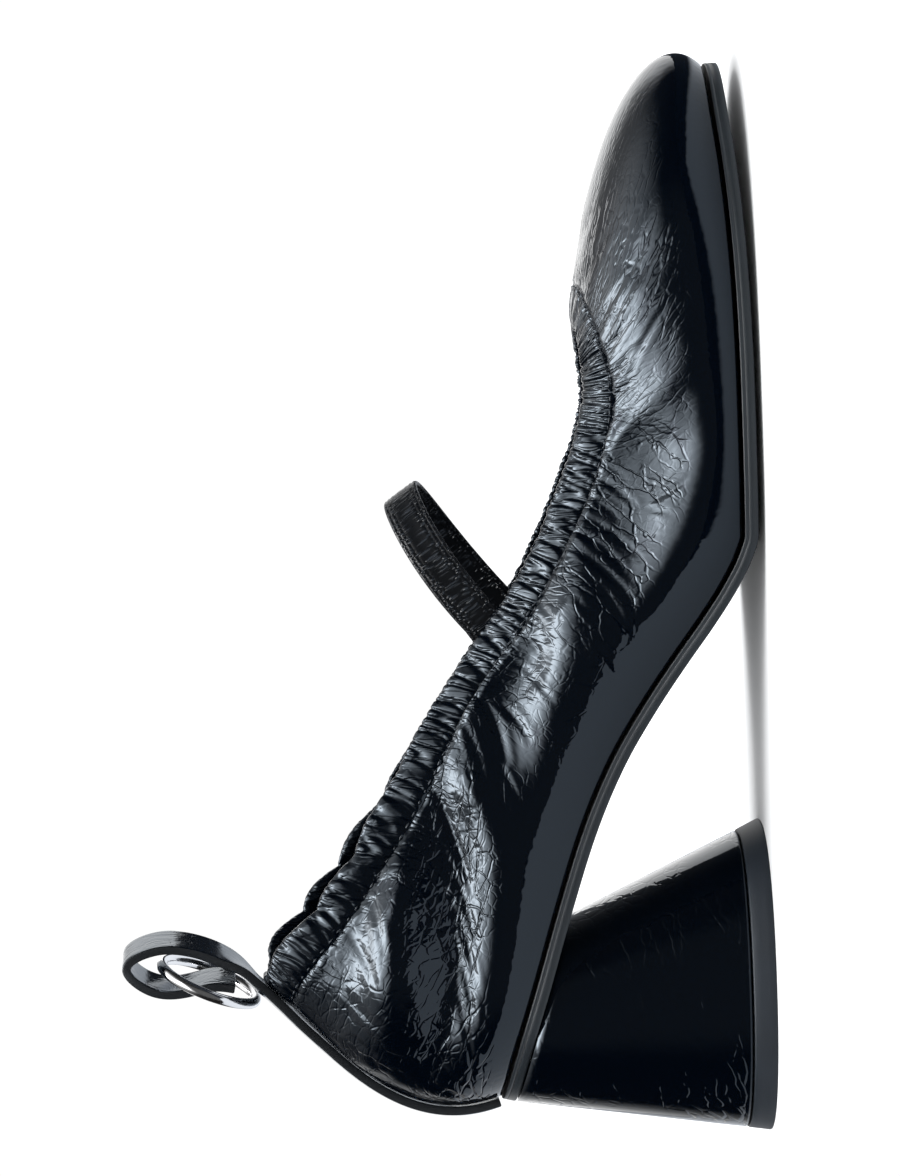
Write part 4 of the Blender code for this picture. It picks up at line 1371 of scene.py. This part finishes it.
def make_stitches():
    """A row of short stitches that holds the casing's lower edge down."""
    count = int((GIRTH - 2 * STITCH_ENDS) / STITCH_EVERY)
    u = np.linspace(STITCH_ENDS, GIRTH - STITCH_ENDS, count) / GIRTH
    level = np.full(count, STITCH_LEVEL)
    spots, ahead, above_it = (to_frame(casing_surface(u + du, level + dv))
                              for du, dv in ((0.0, 0.0), (1e-3, 0.0), (0.0, 4e-3)))
    thread = bmesh.new()
    thread.loops.layers.uv.new("surface")
    for spot, along_it, up_it in zip(spots, ahead - spots, above_it - spots):
        run = Vector(along_it).normalized()
        out = run.cross(Vector(up_it)).normalized()
        sides = (run * STITCH_LONG, out.cross(run) * STITCH_THICK, out * STITCH_THICK)
        turned = Matrix([side * MM for side in sides]).transposed().to_4x4()
        bmesh.ops.create_icosphere(thread, subdivisions=1, radius=1.0,
                                   matrix=Matrix.Translation(Vector(spot)) @ turned)
    to_object("casing_stitches", thread, [THREAD_FINISH])


make_stitches()

# %% [markdown]
# ## Lining and insole
# Inside, thin dull leather lines the upper and covers the insole. The lining is the upper's surface
# moved inwards by nearly the whole wall, made solid. The insole follows the last's bottom, dished a
# little towards its middle, with its edge turned down.

# %% Lining
LINING_THICK = 0.7
LINING_COLUMNS = 256
LINING_ROWS = 48


def make_lining():
    def surface(u, v):
        s = u * GIRTH
        return within(shoe(s, v * np.interp(s, seam_stations, seam_v)), WALL - LINING_THICK)

    lining = lay_sheet(LINING_COLUMNS, LINING_ROWS, surface)
    merge(lining)
    bmesh.ops.recalc_face_normals(lining, faces=lining.faces)
    bmesh.ops.solidify(lining, geom=lining.faces[:], thickness=LINING_THICK * MM)
    to_object("quarter_lining", lining, [LINING_FINISH])


make_lining()

# %% [markdown]
# ## Soles
# The bottom pieces are plates cut to the lasted outline. One grid makes a whole plate: it runs from
# heel to toe one way, and the other way it goes once round the plate's section, so that rows of the
# section give the rounded corners and the fine line worked into the edge. Its ends close to a point.

# %% Plates along the sole
PlateRow = namedtuple("PlateRow", "across inset height")


def plate_section(thick, corner, flat_steps, edge_rows):
    """Rows once round a plate: the flat underside, one edge, the flat top and the other edge."""
    flat = np.sin(np.linspace(-pi / 2, pi / 2, flat_steps + 1))
    edge = [(corner, 0.0), (0.3 * corner, 0.25 * corner), (0.0, corner)] + edge_rows
    edge += [(0.0, thick - corner), (0.3 * corner, thick - 0.25 * corner), (corner, thick)]
    section = [PlateRow(a, corner, 0.0) for a in flat[:-1]]
    section += [PlateRow(1.0, move, height) for move, height in edge[:-1]]
    section += [PlateRow(a, corner, thick) for a in flat[:0:-1]]
    section += [PlateRow(-1.0, move, height) for move, height in edge[::-1]]
    return section


def make_plate(out, raised_by, section, columns):
    """A closed plate whose edge stands out from the lasted outline."""
    across, inset, height = (rows(section, name)[:, None] for name in PlateRow._fields)

    def surface(u, v):
        share = u - 0.8 * np.sin(2 * pi * u) / (2 * pi)
        lateral = edge_point(share * TOE_AT, out - inset)
        medial = edge_point(GIRTH - share * (GIRTH - TOE_AT), out - inset)
        f = (across + 1) / 2
        along = lateral[0] + (medial[0] - lateral[0]) * f
        side = lateral[1] + (medial[1] - lateral[1]) * f
        along, level = above(along, across, raised_by + height)
        return np.stack([along, side, level], axis=-1)

    plate = lay_sheet(columns, len(section) - 1, surface)
    merge(plate)
    return plate


print("rows round a plain plate:", len(plate_section(SOLE, 0.3, 30, [])))

# %% Outsole and insole
FACES_DOWN = -0.75


def make_outsole():
    line = [(0.0, 1.0), (0.0, 1.9), (0.10, 2.0), (0.14, 2.08), (0.0, 2.2)]
    sole = make_plate(SOLE_PROUD, 0.0, plate_section(SOLE, 0.3, 30, line), 260)
    for face in sole.faces:
        face.material_index = 1 if face.normal.z < FACES_DOWN else 0
    to_object("outsole_edge", sole, [SOLE_FINISH, SOLE_UNDER], replaced="outsole")


def make_insole():
    low = SOLE + 1.5 * GAP
    insole = make_plate(-WALL - 2 * GAP, low, plate_section(INSOLE, 0.5, 24, []), 160)
    to_object("insole_sock", insole, [LINING_FINISH], replaced="insole")


make_outsole()
make_insole()

# %% [markdown]
# ## Heel and top piece
# The block heel flares from the seat to the ground and is wrapped in the same patent leather, turned
# under at the foot so that a fine rolled edge shows above the rubber top piece. Both are turned
# outlines: a grid goes once round, and its rows run from the middle of the bottom, up the wall, to
# the middle of the top, so that the ends close by themselves.

# %% Turned outlines
HeelRow = namedtuple("HeelRow", "share inset height lift", defaults=(0.0,))
HEEL_TURNS = 160
HEEL_GIRTH = 165.0
HEEL_WALL = 30.0


def heel_place(turn, share, inset, height, lift):
    """A place on the heel: share of the radius, moved in by inset, at a height or lifted to the seat."""
    across, forward = rounded(turn, 2 / HEEL_ROUND)
    back, front = HEEL_SEAT
    seat_along = (back + front) / 2 + (front - back) / 2 * forward
    seat_height = underside(seat_along, 0.0) - GAP
    ground = np.stack([HEEL_LENGTH / 2 * (1 + forward), HEEL_WIDTH / 2 * across], axis=-1)
    seat = np.stack([seat_along, HEEL_SEAT_WIDTH / 2 * across], axis=-1)
    level = height + (seat_height - height) * lift
    up = (level / seat_height)[..., None]
    middle = np.array([HEEL_LENGTH / 2, 0.0]) * (1 - up) + np.array([(back + front) / 2, 0.0]) * up
    flat = ground + (seat - ground) * up - middle
    size = np.linalg.norm(flat, axis=-1)
    shrunk = np.maximum(0.0, size * share - inset) / size
    along, side = np.moveaxis(middle + flat * shrunk[..., None], -1, 0)
    level = np.where(lift >= 1.0, underside(along, 0.0) - GAP, level)
    return np.stack([along, side, level], axis=-1)


def turned_piece(profile):
    """Lay the grid through the rows of a profile, from the bottom's middle to the top's."""
    def surface(u, v):
        turn = u * 2 * pi
        at = v * (len(profile) - 1)
        row = np.arange(len(profile))
        columns = (np.interp(at, row, rows(profile, name)) for name in HeelRow._fields)
        return heel_place(turn, *columns)

    piece = lay_sheet(HEEL_TURNS, len(profile) - 1, surface)
    turned = lattice(HEEL_TURNS, len(profile) - 1)[0] * HEEL_GIRTH
    climbed = rows(profile, "height") + HEEL_WALL * rows(profile, "lift")
    stretch_surface_map(piece, turned, np.repeat(climbed, HEEL_TURNS + 1))
    merge(piece)
    return piece


print("heel's front corner:", np.round(heel_place(0.0, 1.0, 0.0, 0.0, 0.0), 1))

# %% Heel
def make_heel():
    foot = TOP_PIECE + GAP
    profile = [HeelRow(share, 0.9, foot) for share in (0.0, 0.5, 0.9)]
    roll = [(0.75, 0.0), (0.3, 0.08), (0.04, 0.35), (0.0, 0.7), (0.07, 1.0), (0.02, 1.5)]
    profile += [HeelRow(1.0, inset, foot + height) for inset, height in roll]
    profile += [HeelRow(1.0, 0.0, foot + 3.0, lift) for lift in np.linspace(0.0, 1.0, 26)]
    profile += [HeelRow(share, 0.0, foot, 1.0) for share in (0.8, 0.5, 0.0)]
    heel = turned_piece(profile)
    to_object("heel_cover", heel, [HEEL_FINISH], replaced="heel")


def make_top_piece():
    profile = [HeelRow(share, 0.0, 0.0) for share in (0.0, 0.5, 0.9)]
    wall = [(0.35, 0.0), (0.1, 0.1), (0.0, 0.35), (0.0, 1.8), (0.0, 3.4), (0.0, TOP_PIECE - 0.35)]
    wall += [(0.12, TOP_PIECE - 0.1), (0.4, TOP_PIECE)]
    profile += [HeelRow(1.0, inset, height) for inset, height in wall]
    profile += [HeelRow(share, 0.4, TOP_PIECE) for share in (0.9, 0.5, 0.0)]
    piece = turned_piece(profile)
    to_object("rubber_top_piece", piece, [RUBBER_FINISH], replaced="top_piece")


make_heel()
make_top_piece()

# %% [markdown]
# ## Back strip and pull loop
# One long strap covers the back seam, leaves the shoe at the collar, turns over into the pull loop
# and comes down to be stitched behind the casing. Its middle line is the same curve as its
# solid's. A grid is laid along it, thickened, and its rim is painted edge, so the rim gets a finish
# of its own before the bevel rounds it.

# %% The strap's path
STRAP_WIDTH = 11.0
STRAP_THICK = 2.0
STRAP_START = 0.012
LOOP_TWIST = radians(15)
LOOP_FREE = 12.0
STEP_OVER = (0.6, 0.8)
SEAM_STEPS = 90
LOOP_STEPS = 170
STRAP_COLUMNS = 12
LOOP = [
    (40.6, 119.2),
    (44.6, 125.0),
    (47.1, 132.8),
    (47.0, 139.6),
    (43.4, 145.3),
    (39.1, 141.8),
    (37.2, 136.0),
    (37.7, 130.6),
    (38.6, 125.4),
    (38.0, 120.9),
]
HELD_STEPS = 15
HELD_LAST = 3


def seam_line(v, offsets):
    """A cross line of the strap where it lies on the back seam and steps over the casing."""
    nearby = np.linspace(-1.5 * STRAP_WIDTH, 1.5 * STRAP_WIDTH, 65)
    over = soft(v, *STEP_OVER)
    lift = GAP + STRAP_THICK / 2 + CASING_PROUD * over
    points = shoe(nearby, np.full(len(nearby), v))
    ahead = shoe(nearby, np.full(len(nearby), v + 0.01))
    normals = np.cross(np.gradient(points, axis=0), ahead - points)
    points = points + normals / np.linalg.norm(normals, axis=1)[:, None] * lift
    along, across, height = points[np.argsort(points[:, 1])].T
    return np.stack([np.interp(offsets, across, along), offsets, np.interp(offsets, across, height)], -1)


def strap_lines(offsets):
    lines = [seam_line(v, offsets) for v in np.linspace(STRAP_START, 1.0, SEAM_STEPS)]
    last_steps = np.linspace(STRAP_START, 1.0, HELD_STEPS)[-HELD_LAST:]
    held = [seam_line(v, np.array([0.0]))[0] for v in last_steps]
    top = lines[-1]
    centre = seam_line(1.0, np.array([0.0]))[0]
    path = np.array([(point[0], point[2]) for point in held] + LOOP)
    knots = np.concatenate([[0.0], np.cumsum(np.hypot(*np.diff(path, axis=0).T))])
    slopes = [spline_slopes(knots, path[:, axis]) for axis in (0, 1)]
    leaving = knots[len(held) - 1]
    for way in np.linspace(leaving, knots[-1], LOOP_STEPS + 1)[1:]:
        x, z = (float(hermite(knots, path[:, axis], slopes[axis], way)) for axis in (0, 1))
        free = soft(way - leaving, 0.0, LOOP_FREE)
        twist = LOOP_TWIST * free
        curve = (top - centre) * (1 - free)
        lines.append(np.stack([x + curve[:, 0] + offsets * sin(twist), offsets * cos(twist),
                               z + curve[:, 2]], -1))
    return np.array(lines)


middle_line = strap_lines(np.array([0.0]))[:, 0]
print("the strap starts at", np.round(middle_line[0], 1), "and ends at", np.round(middle_line[-1], 1))

# %% Strap and loop
RIM_SHARPEST = 60.0
RIM_ROUND = 0.3
STRAP_MAP_START = 20.0


def rim_edges(piece, sharpest):
    """Edges where two faces meet at more than this many degrees."""
    return [edge for edge in piece.edges
            if len(edge.link_faces) == 2 and degrees(edge.calc_face_angle()) > sharpest]


def make_strap():
    offsets = np.linspace(-STRAP_WIDTH / 2, STRAP_WIDTH / 2, STRAP_COLUMNS + 1)
    lines = strap_lines(offsets)
    lengths = lengths_up(lines[:, STRAP_COLUMNS // 2, None])[0]
    strap = lay_sheet(STRAP_COLUMNS, len(lines) - 1, lambda u, v: lines)
    stretch_surface_map(strap, np.broadcast_to(offsets + STRAP_MAP_START, lines.shape[:2]),
                        np.broadcast_to(lengths, lines.shape[:2]))
    face_normals = normals_of(lines, closed=False)
    shift = to_frame(lines + face_normals * STRAP_THICK / 2).reshape(-1, 3)
    for vert, spot in zip(strap.verts, shift):
        vert.co = spot
    strap.normal_update()
    bmesh.ops.solidify(strap, geom=strap.faces[:], thickness=STRAP_THICK * MM)
    bmesh.ops.recalc_face_normals(strap, faces=strap.faces)
    rim = rim_edges(strap, RIM_SHARPEST)
    for face in strap.faces:
        face.material_index = 1 if sum(edge in rim for edge in face.edges) >= 2 else 0
    bmesh.ops.bevel(strap, geom=rim, offset=RIM_ROUND * MM, offset_type="OFFSET", affect="EDGES",
                    segments=2, profile=0.5, material=-1, clamp_overlap=True)
    to_object("strap_and_loop", strap, [STRAP_FINISH, STRAP_EDGE],
              replaced="back_strip")


make_strap()

# %% [markdown]
# ## Elastic over the instep
# A flat woven elastic springs from inside the collar over the foot. Woven elastic is ribbed along its
# length and its surface is broken by the weft, so its ribs are real relief across a fine sheet and
# the weft is a small pattern on the sheet's own UV map.

# %% The elastic's arch
ELASTIC_WIDTH = 9.0
ELASTIC_THICK = 1.5
ELASTIC_SPAN = 30.0
ELASTIC_SIDE = -0.35
ELASTIC_RISE = 33.5
ELASTIC_LEAN = radians(35)
ELASTIC_TAIL = 7.0
ELASTIC_SKEW = 5.6
ELASTIC_BOW = 1.0
ELASTIC_FOOT = (120.4, 60.2)
ELASTIC_RIBS = 9
ELASTIC_COLUMNS = 240
ELASTIC_RING = 72
ELASTIC_LENGTH = 100.0
TAIL_SHARE = 0.08
RIB_DEPTH = 0.16


def elastic_line(way):
    """Middle of the elastic for a way from 0 to 1: a short tail, the arch, and a tail."""
    along = np.array([cos(ELASTIC_LEAN), 0.0, sin(ELASTIC_LEAN)])
    across = np.array([-sin(ELASTIC_LEAN), 0.0, cos(ELASTIC_LEAN)])
    side = np.array([0.0, 1.0, 0.0])
    foot = np.array([ELASTIC_FOOT[0], ELASTIC_SIDE, ELASTIC_FOOT[1]])
    half = ELASTIC_SPAN / 2
    turn = pi * np.clip((way - TAIL_SHARE) / (1 - 2 * TAIL_SHARE), 0.0, 1.0)
    down = np.clip((TAIL_SHARE - np.minimum(way, 1 - way)) / TAIL_SHARE, 0.0, 1.0)
    point = foot + along * (ELASTIC_RISE * np.sin(turn) - ELASTIC_TAIL * down)[..., None]
    point = point - side * (half * np.cos(turn))[..., None]
    point = point + across * (ELASTIC_BOW * 4 * np.sin(turn) * (1 - np.sin(turn)))[..., None]
    slide = ELASTIC_SKEW * (point[..., 1] - ELASTIC_SIDE) / ELASTIC_SPAN
    return point - across * slide[..., None], across


def elastic_surface(u, v):
    """v goes once round the band's section; u goes from tail to tail."""
    point, across = elastic_line(u)
    run = elastic_line(np.minimum(u + 0.004, 1.0))[0] - elastic_line(np.maximum(u - 0.004, 0.0))[0]
    out = np.cross(run, np.broadcast_to(across, run.shape))
    out /= np.linalg.norm(out, axis=-1)[..., None]
    thick, wide = rounded(v * 2 * pi, 0.5)
    ribs = 0.5 + 0.5 * np.cos(wide * ELASTIC_RIBS * pi)
    plump = ELASTIC_THICK / 2 - RIB_DEPTH + RIB_DEPTH * ribs
    return point + across * (wide * ELASTIC_WIDTH / 2)[..., None] + out * (thick * plump)[..., None]


print("top of the arch:", np.round(elastic_line(np.array([0.5]))[0][0], 1))

# %% Elastic
WEFT = (0.62, 1.05)
WEFT_DEPTH = 0.42


def make_elastic_finish():
    made, tree, shader = principled("woven_elastic", (0.003, 0.004, 0.006), 0.30)
    place = shaken(tree, flat_in_mm(tree), 1.6, 0.9)
    weft = add_node(tree, "ShaderNodeTexVoronoi", feature="F1")
    weft.inputs["Scale"].default_value = 1.0
    tree.links.new(scaled(tree, place, (1 / WEFT[0], 1 / WEFT[1], 1.0)), weft.inputs["Vector"])
    grains = soft_step(tree, weft.outputs["Distance"], 0.52, 0.12)
    worn = noise_node(tree, scaled(tree, place, (1 / 6.0, 1 / 6.0, 1.0))).outputs[0]
    height = calculate(tree, "MULTIPLY", grains, soft_step(tree, worn, 0.25, 0.6))
    bump(tree, shader, calculate(tree, "MULTIPLY", height, WEFT_DEPTH))
    two_tone(tree, shader, grains, (0.0008, 0.0016, 0.0030), (0.0170, 0.0215, 0.0280))
    return made


def make_elastic():
    band = lay_sheet(ELASTIC_COLUMNS, ELASTIC_RING, elastic_surface)
    u, v = lattice(ELASTIC_COLUMNS, ELASTIC_RING)
    stretch_surface_map(band, u * ELASTIC_LENGTH, v * 2 * ELASTIC_WIDTH)
    merge(band)
    ends = [edge for edge in band.edges if edge.is_boundary]
    bmesh.ops.holes_fill(band, edges=ends, sides=0)
    to_object("instep_elastic", band, [make_elastic_finish()], replaced="instep_strap")


make_elastic()

# %% [markdown]
# ## Ring
# A polished ring of round wire hangs in the pull loop. It is a circle turned once about the ring's
# own axis, then leaned and turned to hang as its solid does, and it rides on the body that swings.

# %% Ring
RING_OUTER = 25.5
RING_WIRE = 2.6
RING_PIVOT = (42.6, 137.4)
RING_TILT = radians(23.4)
RING_YAW = radians(10)
WIRE_SIDES = 28
RING_STEPS = 96


def make_silver():
    made, tree, shader = principled("polished_silver", (0.80, 0.80, 0.81), 0.09, Metallic=1.0)
    place = place_in_mm(tree)
    scuff = noise_node(tree, scaled(tree, place, (0.6, 0.6, 0.6)), detail=4.0, roughness=0.6).outputs[0]
    rough = add_node(tree, "ShaderNodeMapRange")
    tree.links.new(scuff, rough.inputs["Value"])
    rough.inputs["To Min"].default_value = 0.05
    rough.inputs["To Max"].default_value = 0.16
    tree.links.new(rough.outputs[0], shader.inputs["Roughness"])
    bump(tree, shader, calculate(tree, "MULTIPLY", scuff, 0.02))
    return made


def make_ring():
    radius = (RING_OUTER - RING_WIRE) / 2 * MM
    ring = bmesh.new()
    ring.loops.layers.uv.new("surface")
    circle = bmesh.ops.create_circle(ring, cap_ends=False, radius=RING_WIRE / 2 * MM,
                                     segments=WIRE_SIDES)
    wire = circle["verts"]
    bmesh.ops.rotate(ring, verts=wire, cent=(0, 0, 0), matrix=Matrix.Rotation(pi / 2, 3, "X"))
    bmesh.ops.translate(ring, verts=wire, vec=(radius, 0, 0))
    bmesh.ops.spin(ring, geom=ring.verts[:] + ring.edges[:], cent=(0, 0, 0), axis=(0, 0, 1),
                   angle=2 * pi, steps=RING_STEPS, use_merge=True)
    merge(ring)
    hang = Matrix.Translation(to_frame(np.array([RING_PIVOT[0], 0.0, RING_PIVOT[1]])))
    hang @= Matrix.Rotation(-RING_YAW, 4, "Z") @ Matrix.Rotation(RING_TILT - pi / 2, 4, "Y")
    hang @= Matrix.Translation((-radius, 0, 0))
    bmesh.ops.transform(ring, matrix=hang, verts=ring.verts)
    to_object("silver_ring", ring, [make_silver()], body="ring", replaced="ring")


make_ring()

# %% Finish
visual_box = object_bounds()
grown = [(a - b) / MM for ends in zip(visual_box, cad_box) for a, b in zip(*ends)]
print("grown in mm:", [round(change, 2) for change in grown])
